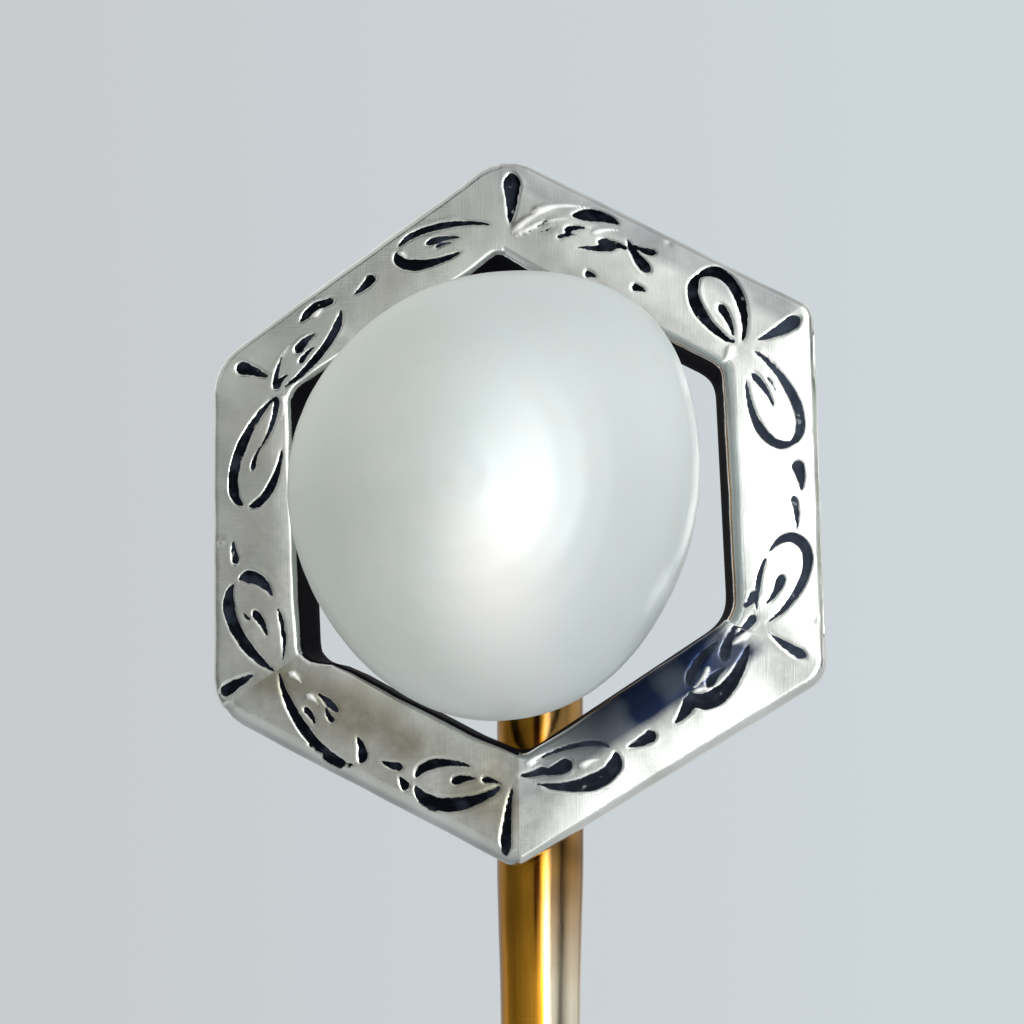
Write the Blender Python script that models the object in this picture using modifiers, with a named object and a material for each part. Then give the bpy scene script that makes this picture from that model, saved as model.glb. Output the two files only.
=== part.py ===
"""Pearl hat pin: an engraved hexagonal frame round a pearl on a gold stem, with a ball-lock point guard.

Metres, +Z up the stem, the pearl looks along -Y, +X is to the right seen from the front.
The origin is on the stem's axis, where the cloth grips it.
"""

import math

import bmesh
import bpy
from mathutils import Matrix, Vector

MM = 0.001
STEPS = 48  # sides of a turned piece

# The head
HEAD_Z = 18.0 * MM  # the head's centre above the origin
FRAME_DEPTH = 0.80 * MM
# Hand-cut corners (x, z) from the head's centre, in mm: top, then clockwise seen from the front
OUTER_CORNERS = ((-0.25, 5.51), (4.43, 2.96), (4.56, -2.53), (-0.09, -5.28), (-4.75, -2.88), (-4.80, 2.42))
INNER_CORNERS = ((-0.30, 3.94), (3.10, 2.13), (3.26, -1.62), (0.11, -3.63), (-3.36, -2.15), (-3.56, 1.98))
# How far each wall has leaned towards the middle by the time it reaches the back, in mm: the wall that
# follows each corner above
OUTER_LEANS = (0.05, 0.0, 0.0, 0.02, 0.05, 0.05)
INNER_LEANS = (0.28, 0.33, 0.25, 0.10, 0.19, 0.21)
OUTER_ROUND = (0.44, 0.14, 0.26, 0.16, 0.48, 0.42)  # how far each corner's rounding runs, in mm
INNER_ROUND = (0.09, 0.14, 0.24, 0.08, 0.24, 0.18)
RIM_CHAMFER = 0.09 * MM

# The stem
STEM_ROOT_R = 0.66 * MM  # behind the frame
STEM_R = 0.55 * MM  # below it, down to the point's taper
STEM_TOP_Z = HEAD_Z + 4.70 * MM
STEM_LENGTH = 52.0 * MM
TIP_Z = STEM_TOP_Z - STEM_LENGTH
ROOT_END_Z = HEAD_Z - 5.3 * MM  # the stem starts to thin just below the frame
NECK_END_Z = HEAD_Z - 11.0 * MM
POINT_TAPER = 4.0 * MM
TIP_R = 0.06 * MM
SOLDER_THICKNESS = 0.12 * MM  # between the stem and the frame's back
FIT_GAP = 0.02 * MM  # between two pieces that are joined

FRAME_BACK_Y = -(STEM_ROOT_R + SOLDER_THICKNESS)
FRAME_FACE_Y = FRAME_BACK_Y - FRAME_DEPTH

# The pearl
PEARL_RX = 2.92 * MM
PEARL_RY = 2.60 * MM
PEARL_RZ = 3.22 * MM
PEARL_Y = FRAME_FACE_Y - 1.90 * MM  # its middle stands in front of the frame's face
PEARL_OFF = Vector((0.04 * MM, 0.0, -0.05 * MM))  # its middle, from the axis it is drilled on
# The shoulders and flats of its outline: degrees round from +X towards +Z, and how much fuller it is there
PEARL_LUMPS = ((48.0, 0.115), (330.0, -0.048), (165.0, 0.037), (220.0, -0.025))
LUMP_SPREAD = 0.35
PEARL_BACK_Y = PEARL_Y + PEARL_RY
CUP_SEAT_GAP = 0.04 * MM
CUP_THICKNESS = 0.16 * MM
CUP_R = 1.6 * MM
PEG_R = 0.22 * MM
PEG_END_Y = PEARL_Y + 1.05 * MM
DRILL_R = 0.38 * MM
DRILL_END_Y = PEG_END_Y - 0.10 * MM
CEMENT_R = (PEG_R + FIT_GAP, DRILL_R - FIT_GAP)
CEMENT_Y = (PEARL_BACK_Y - 0.10 * MM, DRILL_END_Y + 0.05 * MM)

# The point guard, from the stem's tip upwards
CONE_ANGLE = math.radians(12.0)
BALL_R = 0.45 * MM
BALL_GAP = 0.01 * MM  # ball to stem, and ball to cone
BALL_Z = TIP_Z + 5.2 * MM
BALL_AT_R = STEM_R + BALL_R + BALL_GAP  # a ball's centre from the stem's axis
BALL_COUNT = 3
CONE_TOP_Z = BALL_Z + 1.0 * MM
CONE_BASE_Z = BALL_Z - 2.0 * MM
BARREL_R = 2.3 * MM
BARREL_BORE_R = 2.0 * MM
BARREL_SHOULDER_R = 1.92 * MM
BARREL_BASE_Z = TIP_Z + 1.6 * MM
BARREL_FLOOR_Z = BARREL_BASE_Z + 0.5 * MM
BARREL_TOP_Z = TIP_Z + 7.0 * MM
GUIDE_R = 0.62 * MM  # every hole that the stem slides through
CARRIER_R = 1.15 * MM
CARRIER_TOP_Z = BALL_Z + 0.75 * MM
CARRIER_TAIL_R = 0.95 * MM
SPRING_SEAT_R = 1.55 * MM
SPRING_SEAT_Z = (BALL_Z - 1.25 * MM, BALL_Z - 0.95 * MM)
TAIL_END_Z = TIP_Z + 0.1 * MM
SPRING_WIRE_R = 0.09 * MM
SPRING_R = 1.27 * MM
SPRING_TURNS = 4
BUSH_TOP_Z = BARREL_TOP_Z + 0.4 * MM
BUSH_FUNNEL_R = 1.0 * MM
KNOB_R = 2.0 * MM
KNOB_TOP_Z = BARREL_BASE_Z - 0.05 * MM
KNOB_SOCKET_Z = TIP_Z - 0.25 * MM
KNOB_END_Z = TIP_Z - 1.2 * MM
KNOB_FLUTES = 16
FLUTE_R = 0.22 * MM

# Colours (linear), roughness, metallic
WHITE_GOLD = ((0.72, 0.71, 0.67), 0.22, 1.0)
YELLOW_GOLD = ((0.83, 0.56, 0.17), 0.24, 1.0)
PEARL_WHITE = ((0.80, 0.81, 0.77), 0.22, 0.0)
CEMENT_CREAM = ((0.70, 0.64, 0.50), 0.60, 0.0)
STEEL = ((0.56, 0.57, 0.58), 0.25, 1.0)
SOLDER = ((0.60, 0.55, 0.42), 0.38, 1.0)


def clear_scene():
    """Starts from nothing."""
    for thing in list(bpy.data.objects):
        bpy.data.objects.remove(thing, do_unlink=True)


def new_collection(name):
    collection = bpy.data.collections.new(name)
    bpy.context.scene.collection.children.link(collection)
    return collection


def material(name, look):
    """A Principled material from a (colour, roughness, metallic) look."""
    colour, roughness, metallic = look
    made = bpy.data.materials.new(name)
    made.use_nodes = True
    shader = made.node_tree.nodes["Principled BSDF"]
    shader.inputs["Base Color"].default_value = (*colour, 1.0)
    shader.inputs["Roughness"].default_value = roughness
    shader.inputs["Metallic"].default_value = metallic
    return made


def place(name, mesh, collection, look=None, at=(0.0, 0.0, 0.0)):
    """Puts a mesh in the scene as a named object; a look makes it a part, none makes it a cutter."""
    thing = bpy.data.objects.new(name, mesh)
    thing.location = at
    collection.objects.link(thing)
    if look is None:
        thing.hide_render = True
        thing.display_type = "WIRE"
    else:
        mesh.materials.append(material(name, look))
        mesh.shade_smooth()
        mesh.set_sharp_from_angle(angle=math.radians(35.0))
    return thing


def mesh_from(name, build):
    """A mesh from a function that fills a bmesh."""
    bm = bmesh.new()
    build(bm)
    bmesh.ops.recalc_face_normals(bm, faces=bm.faces)
    mesh = bpy.data.meshes.new(name)
    bm.to_mesh(mesh)
    bm.free()
    return mesh


def turned(name, profile, collection, look=None, at=(0.0, 0.0, 0.0), steps=STEPS):
    """A turned piece: (radius, z) points down the outer side, turned about Z with a Screw modifier."""
    mesh = bpy.data.meshes.new(name)
    count = len(profile)
    closed = profile[0][0] > 0.0 and profile[-1][0] > 0.0
    edges = [(i, i + 1) for i in range(count - 1)] + ([(count - 1, 0)] if closed else [])
    mesh.from_pydata([(r, 0.0, z) for r, z in profile], edges, [])
    thing = place(name, mesh, collection, look, at)
    screw = thing.modifiers.new("turn", "SCREW")
    screw.axis = "Z"
    screw.angle = math.tau
    screw.steps = steps
    screw.render_steps = steps
    screw.use_merge_vertices = True
    screw.merge_threshold = 1e-7
    screw.use_smooth_shade = True
    if look is not None:
        bake_shape(thing)
    return thing


def bake_shape(thing):
    """Makes an object's modifiers its own mesh, shaded smooth but for its real edges."""
    graph = bpy.context.evaluated_depsgraph_get()
    old = thing.data
    made = bpy.data.meshes.new_from_object(thing.evaluated_get(graph))
    made.name = old.name
    thing.modifiers.clear()
    thing.data = made
    made.shade_smooth()
    made.set_sharp_from_angle(angle=math.radians(35.0))
    bpy.data.meshes.remove(old)


def cut(thing, *cutters):
    """Takes each cutter away from an object with an exact Boolean."""
    for cutter in cutters:
        boolean = thing.modifiers.new(cutter.name, "BOOLEAN")
        boolean.operation = "DIFFERENCE"
        boolean.object = cutter
        boolean.solver = "EXACT"
    bake_shape(thing)


def arc(centre, radius, start, end, count):
    """(radius, z) points round an arc, angles in degrees from +r towards +z."""
    angles = [math.radians(start + (end - start) * i / count) for i in range(count + 1)]
    return [(centre[0] + radius * math.cos(a), centre[1] + radius * math.sin(a)) for a in angles]


def leaned(corners, leans):
    """The corners of a hexagon whose sides have each moved towards its middle by their lean."""
    sides = []
    for number, lean in enumerate(leans):
        start, end = corners[number], corners[(number + 1) % 6]
        along = (end - start).normalized()
        inward = Vector((along.y, -along.x))
        sides.append((start + inward * lean, along))
    moved = []
    for number, (start, along) in enumerate(sides):
        before, before_along = sides[number - 1]
        across = before_along.x * along.y - before_along.y * along.x
        step = ((start - before).x * along.y - (start - before).y * along.x) / across
        moved.append(before + before_along * step)
    return moved


def hexagon(corners, rounds, front_leans, back_leans, front_y, back_y):
    """Fills a bmesh with a six-sided block; the leans move its walls in at the front and at the back."""
    points = [Vector((x * MM, z * MM)) for x, z in corners]
    front = leaned(points, front_leans)
    back = leaned(points, back_leans)

    def build(bm):
        bmesh.ops.create_cone(bm, cap_ends=True, segments=6, radius1=1.0, radius2=1.0, depth=1.0)
        sides = []
        for vert in bm.verts:
            turn = math.atan2(vert.co.x, vert.co.y)
            corner = round(turn / (math.tau / 6)) % 6
            at, y = (back[corner], back_y) if vert.co.z > 0.0 else (front[corner], front_y)
            vert.co = Vector((at.x, y, at.y))
        for edge in bm.edges:
            a, b = edge.verts
            if abs(a.co.y - b.co.y) > 0.5 * abs(front_y - back_y):
                sides.append(edge)
        for edge in sides:
            end = edge.verts[0].co
            near = min(range(6), key=lambda i: (Vector((end.x, end.z)) - front[i]).length)
            bm.normal_update()
            bmesh.ops.bevel(
                bm,
                geom=[edge],
                offset=rounds[near],
                offset_type="OFFSET",
                segments=4,
                profile=0.5,
                affect="EDGES",
            )

    return build


def hex_frame(parts, cutters):
    """The open hexagon, round at its corners, its rims lightly chamfered."""
    rounds = [r * MM for r in OUTER_ROUND]
    leans = [lean * MM for lean in OUTER_LEANS]
    outer = hexagon(OUTER_CORNERS, rounds, [0.0] * 6, leans, FRAME_FACE_Y, FRAME_BACK_Y)
    frame = place("hex_frame", mesh_from("hex_frame", outer), parts, WHITE_GOLD, (0, 0, HEAD_Z))
    past = 0.2 * MM
    rounds = [r * MM for r in INNER_ROUND]
    before = [-lean * MM * past / FRAME_DEPTH for lean in INNER_LEANS]
    behind = [lean * MM * (1.0 + past / FRAME_DEPTH) for lean in INNER_LEANS]
    hole = hexagon(INNER_CORNERS, rounds, before, behind, FRAME_FACE_Y - past, FRAME_BACK_Y + past)
    opening = place("frame_opening", mesh_from("frame_opening", hole), cutters, None, (0, 0, HEAD_Z))
    bpy.context.view_layer.update()
    cut(frame, opening)
    chamfer = frame.modifiers.new("rim", "BEVEL")
    chamfer.width = RIM_CHAMFER
    chamfer.segments = 1
    chamfer.limit_method = "ANGLE"
    chamfer.angle_limit = math.radians(55.0)
    chamfer.use_clamp_overlap = True
    return frame


def pearl(parts, cutters):
    """The pearl, fuller at one shoulder than all round, drilled half way from behind."""

    def body_shape(bm):
        bmesh.ops.create_uvsphere(bm, u_segments=40, v_segments=20, radius=1.0)
        bmesh.ops.rotate(bm, verts=bm.verts, matrix=Matrix.Rotation(math.radians(90.0), 3, "X"))
        for vert in bm.verts:
            way = vert.co.copy()
            swell = 1.0
            for degrees, fuller in PEARL_LUMPS:
                turn = math.radians(degrees)
                lump_way = Vector((math.cos(turn), 0.0, math.sin(turn)))
                apart = (way - lump_way).length / LUMP_SPREAD
                swell += fuller * math.exp(-apart * apart / 2)
            full = way * swell
            vert.co = Vector((full.x * PEARL_RX, full.y * PEARL_RY, full.z * PEARL_RZ)) + PEARL_OFF

    body = place("pearl", mesh_from("pearl", body_shape), parts, PEARL_WHITE, (0, PEARL_Y, HEAD_Z))
    drill = rod("pearl_drill", DRILL_R, PEARL_BACK_Y + 0.3 * MM, DRILL_END_Y, cutters)
    cut(body, drill)
    return body


def rod(name, radius, from_y, to_y, collection, look=None, segments=24):
    """A straight round rod along Y at the head's centre."""

    def build(bm):
        bmesh.ops.create_cone(
            bm,
            cap_ends=True,
            segments=segments,
            radius1=radius,
            radius2=radius,
            depth=abs(to_y - from_y),
            matrix=Matrix.Rotation(math.radians(90.0), 4, "X"),
        )

    return place(name, mesh_from(name, build), collection, look, (0, (from_y + to_y) / 2, HEAD_Z))


def turned_along_y(name, profile, parts, look, steps=STEPS):
    """A piece turned about the pearl's axis; its profile's z is the distance behind the pearl's middle."""
    thing = turned(name, profile, parts, look, (0, PEARL_Y, HEAD_Z), steps)
    thing.data.transform(Matrix.Rotation(math.radians(-90.0), 4, "X"))
    return thing


def pearl_back(radius, gap):
    """How far behind the pearl's middle a surface lies that keeps this gap to the pearl's back."""
    return (PEARL_RY + gap) * math.sqrt(1.0 - (radius / (PEARL_RZ + gap)) ** 2)


def pearl_cup(parts):
    """The dish behind the pearl, with the peg's hole in its middle."""
    hole = PEG_R + FIT_GAP
    count = 4
    radii = [hole + (CUP_R - hole) * i / count for i in range(count + 1)]
    back = [(r, pearl_back(r, CUP_SEAT_GAP + CUP_THICKNESS)) for r in radii]
    seat = [(r, pearl_back(r, CUP_SEAT_GAP)) for r in reversed(radii)]
    rim = [(CUP_R + 0.06 * MM, (back[-1][1] + seat[0][1]) / 2)]
    return turned_along_y("pearl_cup", back + rim + seat, parts, YELLOW_GOLD, 32)


def pearl_peg(parts):
    """The post that the pearl sits on, rounded at its end."""
    foot = -FIT_GAP * 2 - STEM_ROOT_R - PEARL_Y
    end = PEG_END_Y - PEARL_Y
    nose = arc((0.0, end + PEG_R), PEG_R, 0.0, -90.0, 4)
    profile = [(0.0, foot), (PEG_R, foot), *nose[:-1], (0.0, end)]
    return turned_along_y("pearl_peg", profile, parts, YELLOW_GOLD, 24)


def pearl_cement(parts):
    """The cement that fills the hole round the peg."""
    inside, outside = CEMENT_R
    near, far = (y - PEARL_Y for y in CEMENT_Y)
    profile = [(inside, near), (outside, near), (outside, far), (inside, far)]
    return turned_along_y("pearl_cement", profile, parts, CEMENT_CREAM, 24)


def stem(parts):
    """One drawn wire: stout behind the frame, thinner below it, with a long point."""
    top = arc((STEM_ROOT_R - 0.2 * MM, STEM_TOP_Z - 0.2 * MM), 0.2 * MM, 90.0, 0.0, 4)
    taper_z = TIP_Z + POINT_TAPER
    point = [
        (STEM_R * math.cos(math.radians(72.0) * s) ** 1.15, taper_z - (POINT_TAPER - 0.25 * MM) * s)
        for s in (0.2, 0.4, 0.6, 0.8, 1.0)
    ]
    profile = [
        (0.0, STEM_TOP_Z),
        *top,
        (STEM_ROOT_R, ROOT_END_Z),
        (STEM_ROOT_R - 0.05 * MM, ROOT_END_Z - 1.6 * MM),
        (STEM_R, NECK_END_Z),
        (STEM_R, taper_z),
        *point,
        (TIP_R, TIP_Z),
        (0.0, TIP_Z),
    ]
    return turned("stem", profile, parts, YELLOW_GOLD)


def solder(name, at_z, half_width, half_height, parts, cutters):
    """A fillet of solder that has run between the stem and the frame's flat back."""
    face_y = FRAME_BACK_Y + FIT_GAP

    def blob(bm):
        bmesh.ops.create_uvsphere(bm, u_segments=28, v_segments=16, radius=1.0)
        for vert in bm.verts:
            vert.co = Vector((vert.co.x * half_width, vert.co.y * 0.62 * MM, vert.co.z * half_height))

    def behind_the_frame(bm):
        bmesh.ops.create_cube(bm, size=4.0 * MM)

    def round_the_stem(bm):
        radius = (STEM_ROOT_R + FIT_GAP) / math.cos(math.pi / STEPS)
        long = 4.0 * MM
        bmesh.ops.create_cone(bm, cap_ends=True, segments=STEPS, radius1=radius, radius2=radius, depth=long)

    fillet = place(name, mesh_from(name, blob), parts, SOLDER, (0, face_y, at_z))
    block_mesh = mesh_from(name + "_face", behind_the_frame)
    block = place(name + "_face", block_mesh, cutters, None, (0, face_y - 2.0 * MM, at_z))
    bore = place(name + "_bore", mesh_from(name + "_bore", round_the_stem), cutters, None, (0, 0, at_z))
    bpy.context.view_layer.update()
    cut(fillet, block, bore)
    return fillet


def cone_r(z):
    """The cone sleeve's inner radius at a height, so that a ball at rest keeps its gap to it."""
    at_ball = BALL_AT_R + (BALL_R + BALL_GAP) / math.cos(CONE_ANGLE)
    return at_ball + (BALL_Z - z) * math.tan(CONE_ANGLE)


def guard_barrel(parts):
    """The guard's outer shell, with a hole in its floor for the tail and a shoulder for the sleeve."""
    tail_hole = CARRIER_TAIL_R + 0.05 * MM
    edge = 0.12 * MM
    profile = [
        (BARREL_BORE_R, BARREL_TOP_Z),
        (BARREL_R - edge, BARREL_TOP_Z),
        (BARREL_R, BARREL_TOP_Z - edge),
        (BARREL_R, BARREL_TOP_Z - 1.2 * MM),
        (BARREL_R - 0.12 * MM, BARREL_TOP_Z - 1.35 * MM),
        (BARREL_R - 0.12 * MM, BARREL_TOP_Z - 1.6 * MM),
        (BARREL_R, BARREL_TOP_Z - 1.75 * MM),
        (BARREL_R, BARREL_BASE_Z + 0.5 * MM),
        (BARREL_R - 0.3 * MM, BARREL_BASE_Z),
        (tail_hole, BARREL_BASE_Z),
        (tail_hole, BARREL_FLOOR_Z),
        (BARREL_SHOULDER_R, BARREL_FLOOR_Z),
        (BARREL_SHOULDER_R, CONE_BASE_Z - FIT_GAP),
        (BARREL_BORE_R, CONE_BASE_Z - FIT_GAP),
    ]
    return turned("guard_barrel", profile, parts, YELLOW_GOLD)


def cone_sleeve(parts):
    """The hard sleeve in the barrel; its bore narrows towards the mouth."""
    outside = BARREL_BORE_R - FIT_GAP
    profile = [
        (cone_r(CONE_TOP_Z), CONE_TOP_Z),
        (outside, CONE_TOP_Z),
        (outside, CONE_BASE_Z),
        (cone_r(CONE_BASE_Z), CONE_BASE_Z),
    ]
    return turned("cone_sleeve", profile, parts, STEEL)


def mouth_bush(parts):
    """The ring that closes the barrel's mouth and guides the stem in through a funnel."""
    outside = BARREL_BORE_R - FIT_GAP
    lip_z = BARREL_TOP_Z + FIT_GAP
    funnel_z = BUSH_TOP_Z - 0.35 * MM
    profile = [
        (BUSH_FUNNEL_R, BUSH_TOP_Z),
        (BARREL_R - 0.25 * MM, BUSH_TOP_Z),
        (BARREL_R, BUSH_TOP_Z - 0.2 * MM),
        (BARREL_R, lip_z),
        (outside, lip_z),
        (outside, CONE_TOP_Z + FIT_GAP),
        (GUIDE_R, CONE_TOP_Z + FIT_GAP),
        (GUIDE_R, funnel_z),
    ]
    return turned("mouth_bush", profile, parts, YELLOW_GOLD)


def ball_turn(number):
    """The direction of a ball's pocket round the stem; the first faces the front."""
    return math.radians(-90.0) + math.tau * number / BALL_COUNT


def ball_carrier(parts, cutters):
    """The tube that holds the balls, with its spring seat and its tail."""
    profile = [
        (GUIDE_R, CARRIER_TOP_Z),
        (CARRIER_R - 0.1 * MM, CARRIER_TOP_Z),
        (CARRIER_R, CARRIER_TOP_Z - 0.1 * MM),
        (CARRIER_R, SPRING_SEAT_Z[1]),
        (SPRING_SEAT_R, SPRING_SEAT_Z[1]),
        (SPRING_SEAT_R, SPRING_SEAT_Z[0]),
        (CARRIER_TAIL_R, SPRING_SEAT_Z[0]),
        (CARRIER_TAIL_R, TAIL_END_Z),
        (GUIDE_R, TAIL_END_Z),
    ]
    carrier = turned("ball_carrier", profile, parts, STEEL)
    near, far = 0.45 * MM, 1.45 * MM  # a pocket's ends, from the stem's axis
    near_r, far_r = 0.385 * MM, 0.56 * MM  # it narrows inwards, so a ball can't fall through

    def pocket(bm):
        deep = far - near
        bmesh.ops.create_cone(bm, cap_ends=True, segments=24, radius1=near_r, radius2=far_r, depth=deep)

    pockets = []
    for number in range(BALL_COUNT):
        turn = ball_turn(number)
        name = f"ball_pocket_{number + 1}"
        middle = (near + far) / 2
        cutter = place(
            name,
            mesh_from(name, pocket),
            cutters,
            None,
            (middle * math.cos(turn), middle * math.sin(turn), BALL_Z),
        )
        cutter.rotation_euler = (0.0, math.radians(90.0), turn)
        pockets.append(cutter)
    bpy.context.view_layer.update()
    cut(carrier, *pockets)
    return carrier


def lock_balls(parts):
    """Three balls, each just clear of the stem and of the cone."""

    def round_ball(bm):
        bmesh.ops.create_uvsphere(bm, u_segments=16, v_segments=10, radius=BALL_R)

    balls = []
    for number in range(BALL_COUNT):
        turn = ball_turn(number)
        name = f"lock_ball_{number + 1}"
        mesh = mesh_from(name, round_ball)
        at = (BALL_AT_R * math.cos(turn), BALL_AT_R * math.sin(turn), BALL_Z)
        balls.append(place(name, mesh, parts, STEEL, at))
    return balls


def release_spring(parts):
    """The coil between the barrel's floor and the carrier's seat."""
    gap = 0.04 * MM
    low = BARREL_FLOOR_Z + SPRING_WIRE_R + gap
    high = SPRING_SEAT_Z[0] - SPRING_WIRE_R - gap
    per_turn = 12
    count = SPRING_TURNS * per_turn
    curve = bpy.data.curves.new("release_spring_wire", "CURVE")
    curve.dimensions = "3D"
    curve.bevel_depth = SPRING_WIRE_R
    curve.bevel_resolution = 2
    curve.use_fill_caps = True
    wire = curve.splines.new("POLY")
    wire.points.add(count)
    for i, point in enumerate(wire.points):
        turn = math.tau * i / per_turn
        z = low + (high - low) * i / count
        point.co = (SPRING_R * math.cos(turn), SPRING_R * math.sin(turn), z, 1.0)
    guide = bpy.data.objects.new("release_spring_wire", curve)
    parts.objects.link(guide)
    bpy.context.view_layer.update()
    graph = bpy.context.evaluated_depsgraph_get()
    mesh = bpy.data.meshes.new_from_object(guide.evaluated_get(graph))
    bpy.data.objects.remove(guide, do_unlink=True)
    bm = bmesh.new()
    bm.from_mesh(mesh)
    bmesh.ops.remove_doubles(bm, verts=bm.verts, dist=1e-7)
    bmesh.ops.recalc_face_normals(bm, faces=bm.faces)
    bm.to_mesh(mesh)
    bm.free()
    return place("release_spring", mesh, parts, STEEL)


def release_knob(parts, cutters):
    """The closed knob on the carrier's tail, fluted for the fingers; the stem's point ends inside it."""
    socket_r = CARRIER_TAIL_R + FIT_GAP
    dome_z = KNOB_END_Z + 0.7 * MM
    dome = [
        (KNOB_R * math.cos(a), dome_z - 0.7 * MM * math.sin(a))
        for a in (math.radians(d) for d in (15.0, 30.0, 45.0, 60.0, 75.0))
    ]
    profile = [
        (socket_r, KNOB_TOP_Z),
        (KNOB_R - 0.15 * MM, KNOB_TOP_Z),
        (KNOB_R, KNOB_TOP_Z - 0.15 * MM),
        (KNOB_R, dome_z),
        *dome,
        (0.0, KNOB_END_Z),
    ]
    knob = turned("release_knob", profile_to_axis(profile, socket_r), parts, YELLOW_GOLD)

    def flutes(bm):
        for number in range(KNOB_FLUTES):
            turn = math.tau * (number + 0.5) / KNOB_FLUTES
            at = Vector(((KNOB_R + 0.1 * MM) * math.cos(turn), (KNOB_R + 0.1 * MM) * math.sin(turn), 0.0))
            bmesh.ops.create_cone(
                bm,
                cap_ends=True,
                segments=10,
                radius1=FLUTE_R,
                radius2=FLUTE_R,
                depth=1.7 * MM,
                matrix=Matrix.Translation(at),
            )

    shape = mesh_from("knob_flutes", flutes)
    cutter = place("knob_flutes", shape, cutters, None, (0, 0, TIP_Z + 0.45 * MM))
    bpy.context.view_layer.update()
    cut(knob, cutter)
    return knob


def profile_to_axis(profile, socket_r):
    """Carries a knob's outer profile on up its blind socket, so that it starts and ends on the axis."""
    return [(0.0, KNOB_SOCKET_Z), (socket_r, KNOB_SOCKET_Z), *profile]


def main():
    clear_scene()
    parts = new_collection("pearl_hat_pin")
    cutters = new_collection("cutters")
    hex_frame(parts, cutters)
    pearl(parts, cutters)
    pearl_cup(parts)
    pearl_peg(parts)
    pearl_cement(parts)
    stem(parts)
    solder("lower_solder", HEAD_Z - 4.15 * MM, 0.92 * MM, 0.55 * MM, parts, cutters)
    solder("upper_solder", HEAD_Z + 4.30 * MM, 1.05 * MM, 0.60 * MM, parts, cutters)
    guard_barrel(parts)
    cone_sleeve(parts)
    mouth_bush(parts)
    ball_carrier(parts, cutters)
    lock_balls(parts)
    release_spring(parts)
    release_knob(parts, cutters)


main()
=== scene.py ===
"""Looks of the antique pearl hat pin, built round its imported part.

The openwork frame is made again here as a fine ring that takes its outlines from the part and adds
the crowned face, the soft rims and the bright-cut leaves. The other pieces are made again from the
part too, apart from three that never show and keep their own shapes: the peg and the cement in the
pearl, and the cone in the keeper.
"""

import math

import bmesh
import bpy
import numpy as np
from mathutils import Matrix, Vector, noise
from mathutils.bvhtree import BVHTree


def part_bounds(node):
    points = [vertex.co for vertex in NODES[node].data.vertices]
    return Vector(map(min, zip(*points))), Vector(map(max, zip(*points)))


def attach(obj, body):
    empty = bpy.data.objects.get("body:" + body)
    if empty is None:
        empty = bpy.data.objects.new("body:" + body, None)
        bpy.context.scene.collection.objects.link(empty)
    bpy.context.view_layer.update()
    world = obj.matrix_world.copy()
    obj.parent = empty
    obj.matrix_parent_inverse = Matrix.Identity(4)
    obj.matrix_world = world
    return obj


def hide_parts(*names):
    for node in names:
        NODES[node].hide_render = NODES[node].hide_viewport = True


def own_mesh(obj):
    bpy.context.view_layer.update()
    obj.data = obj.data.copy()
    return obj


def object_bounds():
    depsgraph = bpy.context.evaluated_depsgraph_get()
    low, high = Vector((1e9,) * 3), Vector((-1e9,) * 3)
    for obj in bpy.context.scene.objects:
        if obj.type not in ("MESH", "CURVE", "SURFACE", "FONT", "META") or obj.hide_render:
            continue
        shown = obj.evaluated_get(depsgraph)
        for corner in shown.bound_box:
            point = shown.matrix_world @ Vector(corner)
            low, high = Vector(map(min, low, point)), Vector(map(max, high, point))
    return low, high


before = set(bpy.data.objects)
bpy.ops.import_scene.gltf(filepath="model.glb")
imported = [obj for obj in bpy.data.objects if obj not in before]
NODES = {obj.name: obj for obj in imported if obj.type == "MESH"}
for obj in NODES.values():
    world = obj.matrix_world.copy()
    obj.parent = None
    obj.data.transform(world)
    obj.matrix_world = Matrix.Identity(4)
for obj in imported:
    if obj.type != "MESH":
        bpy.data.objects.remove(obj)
part_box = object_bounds()

MM = 0.001
WELD = 1e-8
STEM_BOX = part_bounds("stem")
TIP_Z, STEM_TOP_Z = STEM_BOX[0].z, STEM_BOX[1].z
FRAME_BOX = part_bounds("hex_frame")
FACE_Y, BACK_Y = FRAME_BOX[0].y, FRAME_BOX[1].y
HEAD_X, HEAD_Z = 0.0, 18.0 * MM


# ---------------- numbers

def ramp(value):
    """The value held between 0 and 1."""
    return np.clip(value, 0, 1)


def hump(value):
    """A bell curve, 1 high at 0 and 0.37 high at 1 on either side."""
    return np.exp(-(value**2))


def in_plane(points):
    """Points of a plane as points of space, for the noise."""
    return np.pad(points, ((0, 0), (0, 1)))


def round_turn(columns):
    """Evenly spread angles, once round."""
    return np.arange(columns) * 2 * math.pi / columns


def centred(angles, middle):
    """Angles measured from another, between half a turn back and half a turn on."""
    return (angles - middle + math.pi) % (2 * math.pi) - math.pi


def ring_mean(grid):
    """Evens out a grid once along its rows, which go round and join."""
    return (np.roll(grid, 1, 1) + 2 * grid + np.roll(grid, -1, 1)) / 4


def row_mean(grid):
    """Evens out a grid once across its rows, apart from the first and the last."""
    return (grid[:-2] + 2 * grid[1:-1] + grid[2:]) / 4


# ---------------- meshes

def grid_faces(rows, columns, wrap_rows=False):
    """Quads of a grid of points whose columns go round and join."""
    last = rows if wrap_rows else rows - 1
    i, j = np.meshgrid(np.arange(last), np.arange(columns), indexing="ij")
    down, right = (i + 1) % rows, (j + 1) % columns
    return np.stack(
        [i * columns + j, i * columns + right, down * columns + right, down * columns + j], -1
    ).reshape(-1, 4)


def placed(obj):
    """Puts an object into the scene."""
    bpy.context.scene.collection.objects.link(obj)
    return obj


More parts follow.
